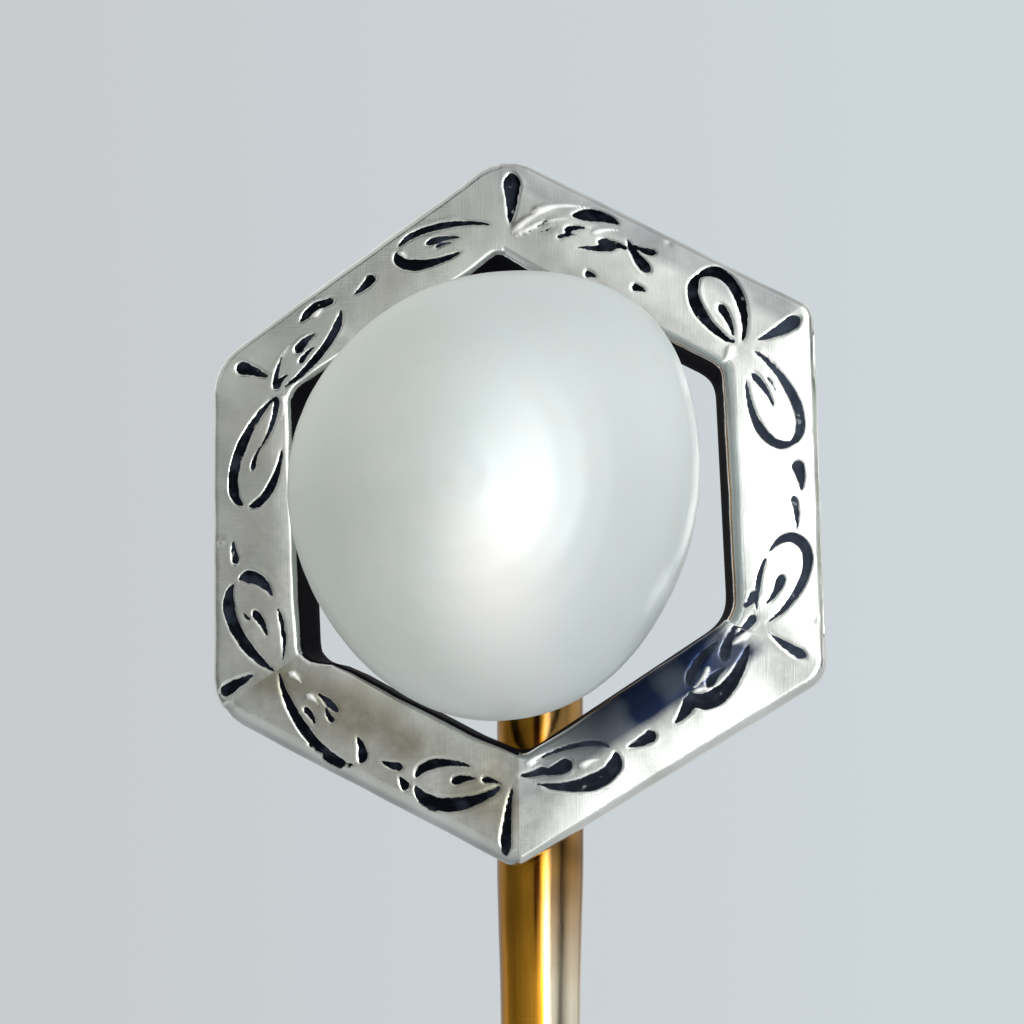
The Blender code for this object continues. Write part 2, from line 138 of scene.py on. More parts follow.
def mesh_object(name, points, faces):
    """A smooth object with its origin at the part's origin, from points in metres."""
    mesh = bpy.data.meshes.new(name)
    mesh.from_pydata(np.asarray(points).tolist(), [], [list(map(int, f)) for f in faces])
    mesh.polygons.foreach_set("use_smooth", [True] * len(mesh.polygons))
    mesh.update()
    return placed(bpy.data.objects.new(name, mesh))


def outward(obj, weld=0.0):
    """Turns every face of a closed mesh outward, once points nearer than weld are joined."""
    bm = bmesh.new()
    bm.from_mesh(obj.data)
    if weld:
        bmesh.ops.remove_doubles(bm, verts=bm.verts, dist=weld)
    bmesh.ops.recalc_face_normals(bm, faces=bm.faces)
    bm.to_mesh(obj.data)
    bm.free()
    return obj


def paint(obj, name, values):
    """Stores one number a vertex, for the material to read."""
    attribute = obj.data.attributes.new(name, "FLOAT", "POINT")
    attribute.data.foreach_set("value", np.asarray(values, np.float32).ravel())


def vertex_vectors(mesh, name):
    """A vector of every vertex of a mesh: its place, co, or its normal."""
    values = np.zeros(len(mesh.vertices) * 3)
    mesh.vertices.foreach_get(name, values)
    return values.reshape(-1, 3)


def turned(r, z, turn):
    """Points round the stem's axis, from a grid of radii and heights."""
    return np.stack([r * np.cos(turn), r * np.sin(turn), z], -1).reshape(-1, 3)


def surface_of(node):
    """A part's surface, for measuring across it."""
    mesh = NODES[node].data
    return BVHTree.FromPolygons(
        [v.co for v in mesh.vertices], [tuple(p.vertices) for p in mesh.polygons]
    )


def smooth_noise(points, scale, seed):
    """Soft noise from -1 to 1 at each point, with features about scale across."""
    offset = Vector((seed * 7.31, seed * 3.17, seed * 5.53))
    return np.array([noise.noise(Vector(p) / scale + offset) for p in points])


def wobble(angles, seed, terms=((2, 1.0), (3, 0.8), (5, 0.5), (8, 0.35), (13, 0.2))):
    """A gentle closed wave, from about -1 to 1, along a ring."""
    local = np.random.default_rng(seed)
    total = np.zeros_like(angles)
    for count, height in terms:
        total += height * np.sin(count * angles + local.uniform(0, 2 * math.pi))
    return total / 1.8


# ---------------- the engraved frame

# The corners in mm from the head's middle, seen from the front: the top one, then round rightward.
OUTER_CORNERS = (
    (-0.25, 5.51), (4.43, 2.96), (4.56, -2.53), (-0.09, -5.28), (-4.75, -2.88), (-4.80, 2.42),
)
INNER_CORNERS = (
    (-0.29, 3.88), (3.10, 2.28), (3.24, -1.64), (0.10, -3.54), (-3.36, -2.14), (-3.56, 1.98),
)
JUNCTIONS = [(np.array(a) + np.array(b)) / 2 for a, b in zip(OUTER_CORNERS, INNER_CORNERS)]
JUNCTION_TURNS = [math.atan2(x, z) % (2 * math.pi) for x, z in JUNCTIONS]
TOP, LOWER_RIGHT, BOTTOM = (JUNCTION_TURNS[corner] for corner in (0, 2, 3))

# The ring is a grid: columns of points go round it, by their angle from straight up towards the
# right, and each row is one line round the section.
FRAME_COLUMNS = 1250
FRAME_TURN = round_turn(FRAME_COLUMNS)
FRAME_AIM = np.stack([np.sin(FRAME_TURN), np.cos(FRAME_TURN)], 1)
FACE_ROWS = 59

# The bars' shapes, upper right bar first and then round: where the crest of the face is, as a
# share of the bar from the opening outward, how far the face falls away from it to either side,
# and the rims' radii, in mm.
CREST_FROM_INNER = (0.22, 0.08, 0.52, 0.30, 0.26, 0.28)
CREST_RISE = 0.07
OUTER_DROP = (0.100, 0.190, 0.092, 0.090, 0.080, 0.050)
INNER_DROP = (0.004, 0.012, 0.120, 0.020, 0.020, 0.010)
OUTER_RIM = (0.09, 0.085, 0.10, 0.24, 0.11, 0.11)
INNER_RIM = (0.13, 0.22, 0.10, 0.09, 0.11, 0.10)
DEEPEST_CUT = 0.12

# Old knocks on the rims: place, size and depth in mm.
NICKS = (
    (4.40, -1.66, 0.07, 0.02), (-0.91, 5.08, 0.06, 0.03), (-1.25, 4.86, 0.05, 0.04),
    (2.30, 4.02, 0.05, 0.01), (-4.62, -0.30, 0.05, 0.012), (1.90, -4.20, 0.05, 0.03),
    (-2.60, -4.02, 0.06, 0.04), (4.42, 1.10, 0.05, 0.01), (-3.10, 3.62, 0.05, 0.03),
)


def bar_place(corner, way, along, across):
    """A point on the bar that leaves a corner: mm along it, and mm across it, outward positive."""
    start, end = JUNCTIONS[corner], JUNCTIONS[(corner + way) % 6]
    direction = (end - start) / np.linalg.norm(end - start)
    side = np.array([-direction[1], direction[0]])
    if side @ (start + end) < 0:
        side = -side
    return start + direction * along + side * across


def bent(start, middle, end, steps=18):
    """A smooth curve from start to end through middle."""
    start, middle, end = (np.asarray(p, float) for p in (start, middle, end))
    pull = 2 * middle - (start + end) / 2
    t = np.linspace(0, 1, steps)[:, None]
    return (1 - t) ** 2 * start + 2 * t * (1 - t) * pull + t**2 * end


def pressed(line, half_width, rise=0.10, fall=0.45, low=0.10):
    """Half widths along a cut: pressed in over its first part, and let run out over its last."""
    s = np.linspace(0, 1, len(line))
    swell = ramp(s / rise) ** 0.6 * ramp((1 - s) / fall) ** 0.7
    waver = 1 + 0.05 * np.sin(s * 15 + half_width * 400) + 0.03 * np.sin(s * 37 + line[0, 0] * 9)
    return line, half_width * np.maximum(swell, low) * waver


def teardrop(blunt, tip, half_width, bend=0.0):
    """A cut struck at its blunt end and drawn out to a point."""
    blunt, tip = np.asarray(blunt, float), np.asarray(tip, float)
    across = np.array([-(tip - blunt)[1], (tip - blunt)[0]])
    line = bent(blunt, (blunt + tip) / 2 + across * bend, tip, 14)
    return pressed(line, half_width, 0.16, 0.90, 0.06)


# The leaves, cut freehand, one at each end of each bar: corner and way, root and tip as mm along
# the bar and across it, how far the leaf swells outward and inward, and its cuts. A cut's first two
# numbers go round the leaf's outline: 0 at the root, 0.5 at the tip, 1 at the root again by the
# inner side. The third is its half width.
LEAVES = (
    (0, -1, (0.25, -0.24), (1.75, 0.26), 0.27, 0.27, ((0.44, 0.05, 0.048), (0.47, 0.80, 0.080))),
    (0, 1, (0.45, -0.34), (2.05, 0.28), 0.42, 0.10, ((0.24, 0.40, 0.085), (0.60, 0.74, 0.045))),
    (1, -1, (0.26, -0.36), (1.28, 0.34), 0.34, 0.30, ((0.55, 0.03, 0.074), (0.50, 0.93, 0.080))),
    (1, 1, (0.28, -0.26), (1.70, 0.26), 0.32, 0.34, ((0.52, 0.03, 0.064), (0.47, 0.84, 0.064))),
    (2, -1, (0.34, -0.26), (1.60, 0.28), 0.34, 0.30, ((0.66, 0.06, 0.070), (0.68, 0.90, 0.034))),
    (2, 1, (0.22, -0.50), (1.45, -0.02), 0.30, 0.30, ((0.55, 0.12, 0.115), (0.58, 0.82, 0.060))),
    (3, -1, (0.24, -0.44), (1.66, 0.08), 0.34, 0.27, ((0.52, 0.14, 0.110), (0.56, 0.86, 0.038))),
    (3, 1, (0.38, -0.24), (1.60, 0.28), 0.34, 0.30, ((0.48, 0.03, 0.095), (0.52, 0.80, 0.065))),
    (4, -1, (0.26, -0.36), (1.98, 0.36), 0.34, 0.26,
     ((0.46, 0.02, 0.075), (0.49, 0.64, 0.068), (0.72, 0.80, 0.05))),
    (4, 1, (0.18, -0.38), (1.62, 0.20), 0.38, 0.38,
     ((0.46, 0.04, 0.088), (0.49, 0.69, 0.088), (0.72, 0.92, 0.030))),
    (5, -1, (0.32, -0.44), (1.98, 0.12), 0.34, 0.36, ((0.50, 0.04, 0.078), (0.52, 0.78, 0.062))),
    (5, 1, (0.20, -0.42), (1.74, 0.20), 0.30, 0.27,
     ((0.30, 0.44, 0.060), (0.56, 0.92, 0.058), (0.04, 0.20, 0.034))),
)

# The seeds and veins inside the leaves: the leaf's number, blunt end and point as shares of its
# length and mm to its outer side, and the half width.
SEEDS = (
    (0, (0.70, 0.04), (0.34, -0.02), 0.055), (0, (0.62, -0.05), (0.40, -0.07), 0.028),
    (1, (0.42, 0.14), (0.62, 0.20), 0.050), (1, (0.36, 0.02), (0.56, 0.09), 0.034),
    (1, (0.28, 0.33), (0.00, 0.03), 0.022), (1, (0.36, 0.22), (0.10, 0.08), 0.020),
    (2, (0.58, 0.00), (0.08, -0.06), 0.062),
    (3, (0.20, -0.14), (0.66, -0.02), 0.052), (3, (0.30, 0.06), (0.52, 0.09), 0.022),
    (4, (0.60, 0.02), (0.22, -0.05), 0.070),
    (5, (0.48, 0.02), (0.02, -0.16), 0.085), (5, (0.82, 0.06), (0.50, 0.10), 0.070),
    (6, (0.56, -0.04), (0.20, 0.02), 0.115), (6, (0.30, -0.02), (-0.02, 0.00), 0.060),
    (7, (0.58, 0.00), (0.28, -0.06), 0.068), (7, (0.24, -0.04), (0.00, 0.00), 0.050),
    (8, (0.36, 0.10), (0.56, 0.16), 0.050), (8, (0.62, -0.10), (0.48, -0.16), 0.048),
    (9, (0.66, 0.02), (0.34, -0.04), 0.066), (9, (0.58, 0.10), (0.72, 0.16), 0.030),
    (10, (0.00, 0.02), (0.52, 0.04), 0.048), (10, (0.70, 0.03), (0.44, 0.00), 0.042),
    (11, (0.40, 0.06), (0.66, -0.02), 0.080), (11, (0.34, -0.08), (0.56, -0.14), 0.045),
    (11, (0.02, 0.02), (0.20, -0.02), 0.058),
)

# Where the graver threw up an edge beside its cut, painted bright as a painted highlight, in
# the same measures.
BURRS = (
    (0, (0.98, 0.04), (0.90, -0.14), 0.060), (1, (-0.05, 0.04), (0.30, 0.48), 0.058),
    (1, (0.10, 0.38), (0.58, 0.52), 0.056), (1, (-0.02, -0.01), (0.47, 0.34), 0.052),
    (1, (0.38, 0.06), (0.66, 0.22), 0.045), (1, (0.66, 0.12), (0.90, 0.20), 0.040),
    (2, (0.05, -0.14), (-0.12, -0.42), 0.060), (3, (0.02, 0.08), (0.30, 0.24), 0.040),
    (4, (0.30, -0.20), (0.04, -0.12), 0.042), (5, (0.06, 0.02), (0.34, -0.10), 0.055),
    (5, (0.62, -0.12), (0.92, -0.10), 0.050), (5, (0.96, -0.06), (0.80, 0.10), 0.045),
    (6, (0.10, -0.12), (0.42, -0.22), 0.045), (6, (0.62, 0.06), (0.84, 0.02), 0.055),
    (8, (0.06, -0.08), (0.20, -0.12), 0.060), (8, (0.30, -0.06), (0.42, -0.10), 0.060),
    (11, (0.10, 0.14), (0.44, 0.22), 0.060), (11, (0.76, 0.16), (0.92, 0.10), 0.050),
    (10, (-0.02, -0.06), (0.20, -0.16), 0.045),
)

# The tears on the corners: how far out the struck end and the point are, across, and half width.
TEARS = (
    (0.50, -0.32, -0.14, 0.135), (0.52, -0.20, -0.06, 0.115), (0.42, -0.28, 0.10, 0.075),
    (0.74, -0.36, -0.12, 0.085), (0.56, -0.10, -0.14, 0.100), (0.28, -0.30, -0.08, 0.105),
)

# The short cuts between the leaves: corner, way, start, end, half width.
DASHES = (
    (1, 1, (1.95, 0.33), (2.42, 0.40), 0.095), (1, 1, (2.46, 0.27), (3.04, 0.30), 0.048),
    (2, 1, (1.46, -0.06), (1.90, 0.14), 0.110), (2, 1, (2.20, 0.10), (2.68, 0.06), 0.095),
    (3, 1, (1.86, 0.16), (2.24, 0.22), 0.065), (3, 1, (1.66, 0.42), (1.86, 0.30), 0.080),
    (4, 1, (1.84, 0.25), (2.26, 0.30), 0.062), (5, 1, (2.44, 0.22), (2.02, 0.14), 0.080),
    (0, 1, (1.66, -0.40), (1.86, -0.37), 0.058), (0, 1, (2.40, -0.28), (2.64, -0.25), 0.062),
    (0, 1, (2.56, 0.04), (1.98, 0.36), 0.085), (0, 1, (2.50, 0.34), (2.10, 0.30), 0.055),
    (0, 1, (1.60, 0.12), (2.16, 0.20), 0.060), (2, -1, (0.84, -0.32), (0.60, -0.50), 0.075),
    (2, -1, (0.50, -0.34), (0.16, -0.70), 0.065), (5, 1, (1.72, 0.28), (1.40, 0.30), 0.060),
)


def leaf_frame(leaf):
    """A leaf's root, its direction, and the direction of its outer side, in mm."""
    corner, way, root, tip = leaf[:4]
    root, tip = bar_place(corner, way, *root), bar_place(corner, way, *tip)
    ahead = tip - root
    out = np.array([-ahead[1], ahead[0]]) / np.linalg.norm(ahead)
    if out @ (bar_place(corner, way, 1.0, 1.0) - bar_place(corner, way, 1.0, 0.0)) < 0:
        out = -out
    return root, ahead, out


def leaf_outline(leaf, first, last):
    """Part of a leaf's outline, which is pointed at its root and round at its tip."""
    root, ahead, out = leaf_frame(leaf)
    share = np.linspace(first, last, 30)
    t = np.where(share <= 0.5, share * 2, (1 - share) * 2)
    along = (1 - np.cos(np.pi * t)) / 2
    swell = np.sin(np.pi * t) * t**0.5 * 1.32
    height = np.where(share <= 0.5, leaf[4], -leaf[5]) * swell
    return root + along[:, None] * ahead + height[:, None] * out


def engraving():
    """The frame's cuts and raised burrs: curves in mm from the head's middle, and half widths."""
    cuts, burrs = [], []
    for leaf in LEAVES:
        for first, last, half_width in leaf[6]:
            cuts.append(pressed(leaf_outline(leaf, first, last), half_width, 0.22, 0.50))
    for marks, made in ((SEEDS, cuts), (BURRS, burrs)):
        for number, blunt, point, half_width in marks:
            root, ahead, out = leaf_frame(LEAVES[number])
            ends = [root + ahead * p[0] + out * p[1] for p in (blunt, point)]
            made.append(teardrop(*ends, half_width, 0.08))
    for corner, (blunt, point, across, half_width) in enumerate(TEARS):
        out = np.array(OUTER_CORNERS[corner]) - np.array(INNER_CORNERS[corner])
        out = out / np.linalg.norm(out)
        side = np.array([-out[1], out[0]])
        middle = JUNCTIONS[corner] + side * across
        cuts.append(teardrop(middle + out * blunt, middle + out * point, half_width, 0.03))
    for corner, way, start, end, half_width in DASHES:
        ends = (bar_place(corner, way, *start), bar_place(corner, way, *end))
        cuts.append(teardrop(*ends, half_width, 0.06))
    return cuts, burrs


def nearest_on(points, line, half):
    """The points near a cut: which they are, how far off, on which side, and its half width."""
    reach = half.max() * 1.2 + 0.09
    low, high = line.min(0) - reach, line.max(0) + reach
    near = np.nonzero(((points > low) & (points < high)).all(1))[0]
    p = points[near]
    best = np.full(len(near), 9.0)
    width = np.full(len(near), half[0])
    side = np.zeros(len(near))
    for a, b, wa, wb in zip(line[:-1], line[1:], half[:-1], half[1:]):
        edge = b - a
        t = ramp((p - a) @ edge / max(edge @ edge, 1e-12))
        gap = p - a - t[:, None] * edge
        d = np.linalg.norm(gap, axis=1)
        closer = d < best
        best = np.where(closer, d, best)
        width = np.where(closer, wa + (wb - wa) * t, width)
        side = np.where(closer, np.sign(edge[0] * gap[:, 1] - edge[1] * gap[:, 0]), side)
    return near, best, side, width


def cut_depths(points):
    """How far each point is cut or raised, in mm, and how far inside a cut and on a burr it is."""
    cuts, burrs = engraving()
    height, lifted, inside, thrown_up = np.zeros((4, len(points)))
    for line, half in burrs:
        near, best, side, width = nearest_on(points, line, half)
        ridge = ramp(1 - (best / width) ** 2)
        lifted[near] = np.maximum(lifted[near], 0.34 * width * ridge)
        thrown_up[near] = np.maximum(thrown_up[near], ridge)
    bottom = 0.30
    for line, half in cuts:
        near, best, side, width = nearest_on(points, line, half)
        signed = best / width * side
        wall = np.where(signed > bottom, (1 - signed) / (1 - bottom), (1 + signed) / (1 + bottom))
        ragged = np.clip(0.55 + 1.5 * smooth_noise(in_plane(points[near]), 0.24, 12), 0.12, 1.3)
        edge = hump((best - width * 1.12) / 0.030) * (1 + 0.6 * side) * ragged
        lifted[near] = np.maximum(lifted[near], np.where(best < width, 0, 0.07 * width * edge))
        down = np.minimum(height[near], -width * ramp(wall))
        height[near] = np.where(best < width, down, height[near])
        inside[near] = np.maximum(inside[near], ramp((1.16 - best / width) * 6.0))
    return np.where(height < 0, height, lifted), inside, np.where(height < 0, 0, thrown_up)


def softened(grid, passes):
    """Evens out a ring's grid of values a little, along and across."""
    for _ in range(passes):
        grid = ring_mean(grid)
        grid[1:-1] = row_mean(grid)
    return grid


def frame_outlines(surface, y):
    """The opening's and the outside's distance from the middle, in mm, at one depth."""
    inner, outer = np.zeros((2, FRAME_COLUMNS))
    middle, far = Vector((HEAD_X, y, HEAD_Z)), 12 * MM
    for k, (x, z) in enumerate(FRAME_AIM):
        ray = Vector((x, 0, z))
        inner[k] = surface.ray_cast(middle, ray)[3]
        outer[k] = far - surface.ray_cast(middle + ray * far, -ray)[3]
    return inner / MM, outer / MM


def bar_value(values, soften=0.34):
    """One value a bar, upper right first, run together softly at the corners."""
    total, weight = np.zeros((2, FRAME_COLUMNS))
    for k, value in enumerate(values):
        first, second = JUNCTION_TURNS[k], JUNCTION_TURNS[(k + 1) % 6]
        span = (second - first) % (2 * math.pi)
        inside = (FRAME_TURN - first) % (2 * math.pi)
        depth_in = np.where(inside < span, np.minimum(inside, span - inside), 0)
        w = np.where(inside < span, np.clip(depth_in / soften, 0, 0.5) + 1e-4, 1e-4)
        total += w * value
        weight += w
    return total / weight


def squareness(radius):
    """How squarely an outline crosses its rays: 1 where it is at right angles to them."""
    slope = (np.roll(radius, -1) - np.roll(radius, 1)) / (2 * (FRAME_TURN[1] - FRAME_TURN[0]))
    return 1 / np.sqrt(1 + (slope / radius) ** 2)


def hand_finished(surface):
    """The four outlines with the filer's unevenness: opening and outside, in front and behind."""
    inner_front, outer_front = frame_outlines(surface, FACE_Y + 0.12 * MM)
    inner_back, outer_back = frame_outlines(surface, BACK_Y - 0.02 * MM)

    # The back corners of the opening were left rounder than the front ones.
    spread = 16
    window = np.hanning(2 * spread + 1)
    wide = np.concatenate([inner_back[-spread:], inner_back, inner_back[:spread]])
    inner_back = np.minimum(inner_back, np.convolve(wide, window / window.sum(), "valid"))

    inner_front = inner_front + 0.006 * wobble(FRAME_TURN, 3, ((9, 1.0), (17, 0.8), (31, 0.6)))
    outer_front = outer_front + 0.006 * wobble(FRAME_TURN, 4, ((7, 1.0), (19, 0.8), (37, 0.6)))
    from_top = centred(FRAME_TURN, math.atan2(*INNER_CORNERS[0]))
    inner_front = inner_front + 0.06 * hump(from_top / 0.10)

    # The bottom left bar is fuller towards its upper corner.
    fuller = np.interp(np.degrees(FRAME_TURN), (192, 205, 214, 222, 227, 232, 236, 239),
                       (0, 0.06, 0.09, 0.13, 0.17, 0.18, 0.06, 0))
    return inner_front - fuller, outer_front, inner_back - fuller, outer_back


def frame_section(surface):
    """The ring before it is engraved, in mm: every point's radius, depth and kind, which rows are
    the face's, and how far across the bar each point is, from the opening outward.

    A kind is 0 on the face, from 1 to 2 on the rims, 2 outside, 2.5 in the opening and 3 behind.
    """
    face, back = FACE_Y / MM, BACK_Y / MM
    inner_front, outer_front, inner_back, outer_back = hand_finished(surface)
    rim_in = bar_value(INNER_RIM)
    rim_out = bar_value(OUTER_RIM) + 0.015 * wobble(FRAME_TURN, 9)
    cos_out, cos_in = squareness(outer_front), squareness(inner_front)
    rows = []

    def add(radius, y, kind):
        rows.append([value * np.ones(FRAME_COLUMNS) for value in (radius, y, kind)])

    for f in np.linspace(0, 1, 4):
        add(outer_back + (outer_front - outer_back) * f, back + (face + rim_out - back) * f, 2)
    for f in np.linspace(0, math.pi / 2, 5)[1:-1]:
        add(outer_front - rim_out * (1 - np.cos(f)) / cos_out, face + rim_out * (1 - np.sin(f)), 1)
    from_r = outer_front - rim_out / cos_out
    to_r = inner_front + rim_in / cos_in
    face_rows = slice(len(rows) - 2, len(rows) + FACE_ROWS + 3)
    for f in np.linspace(0, 1, FACE_ROWS):
        add(from_r + (to_r - from_r) * f, face, 0)
    for f in np.linspace(0, math.pi / 2, 6)[1:]:
        radius = inner_front + rim_in * (1 - np.sin(f)) / cos_in
        add(radius, face + rim_in * (1 - np.cos(f)), 1 + f / 1.58)
    for f in np.linspace(0, 1, 6)[1:]:
        radius = inner_front + (inner_back - inner_front) * f
        add(radius, face + rim_in + (back - face - rim_in) * f, 2.5)
    for f in (0.03, 0.33, 0.67):
        add(inner_back + (outer_back - inner_back) * f, back, 3)
    radii, depths, kinds = np.array(rows).transpose(1, 0, 2)
    share = ramp((inner_front - radii) / (inner_front - outer_front))
    return radii, depths, kinds, face_rows, share


def crowned(share):
    """How far the face stands forward: up to a soft crest, each bar in its own way."""
    crest = bar_value(CREST_FROM_INNER)
    inward, outside = ramp((crest - share) / crest), ramp((share - crest) / (1 - crest))
    rise = CREST_RISE - bar_value(INNER_DROP) * inward**2 - bar_value(OUTER_DROP) * outside**1.5
    apart = np.abs(centred(FRAME_TURN[:, None], np.array(JUNCTION_TURNS)[None, :]))
    level = hump(apart.min(1) / 0.15)
    return rise * (1 - level) + 0.05 * (1 - share) * level


def paint_frame(obj, points, kinds, share):
    """The frame's painted dark reflection and shade, pale cuts, black walls, and bright rims."""
    front = kinds < 2.2
    patchy = smooth_noise(in_plane(points), 0.55, 14)

    # Painted dark reflection and shade, navy: the lower right bar, fading downward, and a little at
    # the top, outside and below.
    down = (FRAME_TURN - LOWER_RIGHT) / (BOTTOM - LOWER_RIGHT)
    bar = ramp(down / 0.06) * ramp((1.08 - down) / 0.55) * ramp((0.50 - share) / 0.10)
    corner = 0.24 * hump(centred(FRAME_TURN, TOP) / 0.16) * np.clip((share - 0.15) / 0.5, 0.2, 1)
    shoulder = bar_value((0.36, 0, 0, 0, 0, 0), 0.12) * ramp((share - 0.66) / 0.12)
    under = bar_value((0, 0, 0, 0.42, 0, 0), 0.12) * ramp((share - 0.90) / 0.06)
    painted_dark_reflection = np.where(front, np.maximum.reduce([bar, corner, shoulder, under]), 0)
    paint(obj, "painted_dark_reflection", ramp(painted_dark_reflection.ravel() * (1 + 0.35 * patchy)))

    # Painted shade: olive on the bars turned from the light, the bottom left bar most.
    painted_olive_shade = bar_value((0.1, 0, 0, 1, 0.35, 0.25), 0.12) * ramp(1.1 - np.abs(share - 0.4) / 0.6)
    paint(obj, "painted_olive_shade", ramp(painted_olive_shade.ravel() * (0.8 + 0.7 * patchy)))
    # Painted light: the cuts painted paler on the bars where the light falls, the right bar most.
    painted_cut_light = bar_value((0.02, 0.75, 0.35, 0.04, 0.12, 0.10), 0.12) * np.ones_like(share)
    paint(obj, "painted_cut_light", painted_cut_light)

    # Painted shade: black on the opening's walls, and a thin painted shadow of the pearl beside the
    # bottom left bar's rim. The outside's four rows and the back's three get almost none.
    wall = np.clip(kinds - 1, 0, 2) / 2 * (1 + bar_value((0, 0.05, 0, 0.2, 0.45, 0.2)))
    painted_pearl_shadow = bar_value((0, 0, 0, 0.62, 0, 0), 0.10) * hump((share - 0.015) / 0.03)
    wall = np.maximum(wall, np.where(front, painted_pearl_shadow, 0))
    wall[:4] = wall[-3:] = 0.1
    paint(obj, "wall", wall)
    paint(obj, "rim", hump((kinds - 1.5) / 0.35))


def build_frame():
    """The engraved hexagon: the part's outlines, a crowned face, soft rims and the cuts."""
    radii, depths, kinds, face_rows, share = frame_section(surface_of("hex_frame"))
    front = kinds < 2
    depths = depths - np.where(front, crowned(share), 0)
    x, z = radii * FRAME_AIM[:, 0], radii * FRAME_AIM[:, 1]
    points = np.stack([x.ravel(), z.ravel()], 1)
    on_face = np.zeros(radii.shape, bool)
    on_face[face_rows] = True
    chosen = np.nonzero(on_face.ravel())[0]
    height, cut, burr = np.zeros((3, radii.size))
    height[chosen], cut[chosen], burr[chosen] = cut_depths(points[chosen])
    height = softened(np.maximum(height, -DEEPEST_CUT).reshape(radii.shape), 2)
    flat_depths = (depths - height).ravel()
    ripple = smooth_noise(in_plane(points), 0.9, 2)
    dimple = smooth_noise(in_plane(points), 0.28, 5)
    flat_depths -= np.where(front.ravel(), 0.010 * ripple + 0.0022 * dimple, 0)
    for nick_x, nick_z, size, deep in NICKS:
        near = hump(np.hypot(points[:, 0] - nick_x, points[:, 1] - nick_z) / size)
        flat_depths += np.where(front.ravel(), deep * near, 0)

    co = np.stack([x.ravel(), flat_depths, z.ravel()], 1) * MM + (HEAD_X, 0, HEAD_Z)
    obj = outward(mesh_object("engraved_frame", co, grid_faces(*radii.shape, True)))
    paint(obj, "cut", softened(cut.reshape(radii.shape), 1))
    paint(obj, "burr", burr)
    paint_frame(obj, points, kinds, share)
    return obj


# ---------------- the pearl

def build_pearl():
    """A slightly lopsided pearl, drilled from behind for its peg."""
    low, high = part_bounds("pearl")
    surface = surface_of("pearl")
    middle = (low + high) / 2
    bore_radius, bore_depth, usual = 0.38 * MM, 1.35 * MM, 2.6 * MM
    rings, columns = 150, 220
    tilt = np.linspace(0, math.pi - bore_radius / (high.x - low.x) * 2, rings)
    points = []
    for a in tilt:
        for b in round_turn(columns):
            ray = Vector((math.sin(a) * math.sin(b), -math.cos(a), math.sin(a) * math.cos(b)))
            if a == 0:
                ray = Vector((0, -1, 0))
            hit = surface.ray_cast(middle, ray)
            points.append(np.array(middle + ray * (hit[3] or usual)))
    centre = np.array(middle)
    points = np.array(points).reshape(rings, columns, 3)
    reach = np.linalg.norm(points - centre, axis=2)
    rays = (points - centre) / reach[:, :, None]
    for _ in range(3):
        reach = ring_mean(reach)
        reach[1:-1] = row_mean(reach)
    flat = rays.reshape(-1, 3)
    lumps = smooth_noise(flat, 0.75, 4) * 0.014 + smooth_noise(flat, 0.30, 6) * 0.004
    lumps = lumps - 0.012 * ramp(smooth_noise(flat, 0.10, 8) - 0.55)
    lumps = lumps.reshape(rings, columns) * MM
    lumps[0] = lumps[0].mean()
    stretch, shift = (1.016, 1.0, 1.0), (0.02 * MM, 0.0, 0.035 * MM)
    co = centre + rays * (reach + lumps)[:, :, None] * stretch + shift
    bore = [co[-1] - (0, bore_depth * share, 0) for share in (0.15, 0.5, 1.0)]
    floor = np.repeat(bore[-1].mean(0)[None], columns, 0)
    co = np.concatenate([co, np.array(bore), floor[None]], 0)
    return outward(mesh_object("pearl_body", co.reshape(-1, 3), grid_faces(len(co), columns)), WELD)


# ---------------- turned pieces

EDGE_EASE = 0.03 * MM


def divided(profile, step):
    """A closed profile with its long sides divided up, in metres."""
    fine = []
    for a, b in zip(profile, profile[1:] + profile[:1]):
        a, b = np.array(a, float), np.array(b, float)
        count = max(1, int(math.ceil(np.linalg.norm(b - a) / step)))
        fine.extend(a + (b - a) * k / count for k in range(count))
    return np.array(fine)


def eased(profile, ease):
    """Rounds every corner of a closed profile by a small amount."""
    soft = []
    count = len(profile)
    for k in range(count):
        before, here, after = (np.array(profile[(k + d) % count], float) for d in (-1, 0, 1))
        for other in (before, after):
            way = other - here
            length = np.linalg.norm(way)
            soft.append(tuple(here + way / length * min(ease, length * 0.3)))
    return soft


def lathe(name, profile, columns, step, relief=None):
    """Turns a closed profile about the stem's axis; relief says how far each point moves outward."""
    fine = divided(profile, step)
    turn = round_turn(columns)
    r = fine[:, 0][:, None] * np.ones(columns)
    z = fine[:, 1][:, None] * np.ones(columns)
    if relief is not None:
        r = r + relief(r, z, turn[None, :] * np.ones_like(r))
    obj = mesh_object(name, turned(r, z, turn), grid_faces(len(fine), columns, True))
    obj.data.set_sharp_from_angle(angle=math.radians(50))
    return outward(obj)


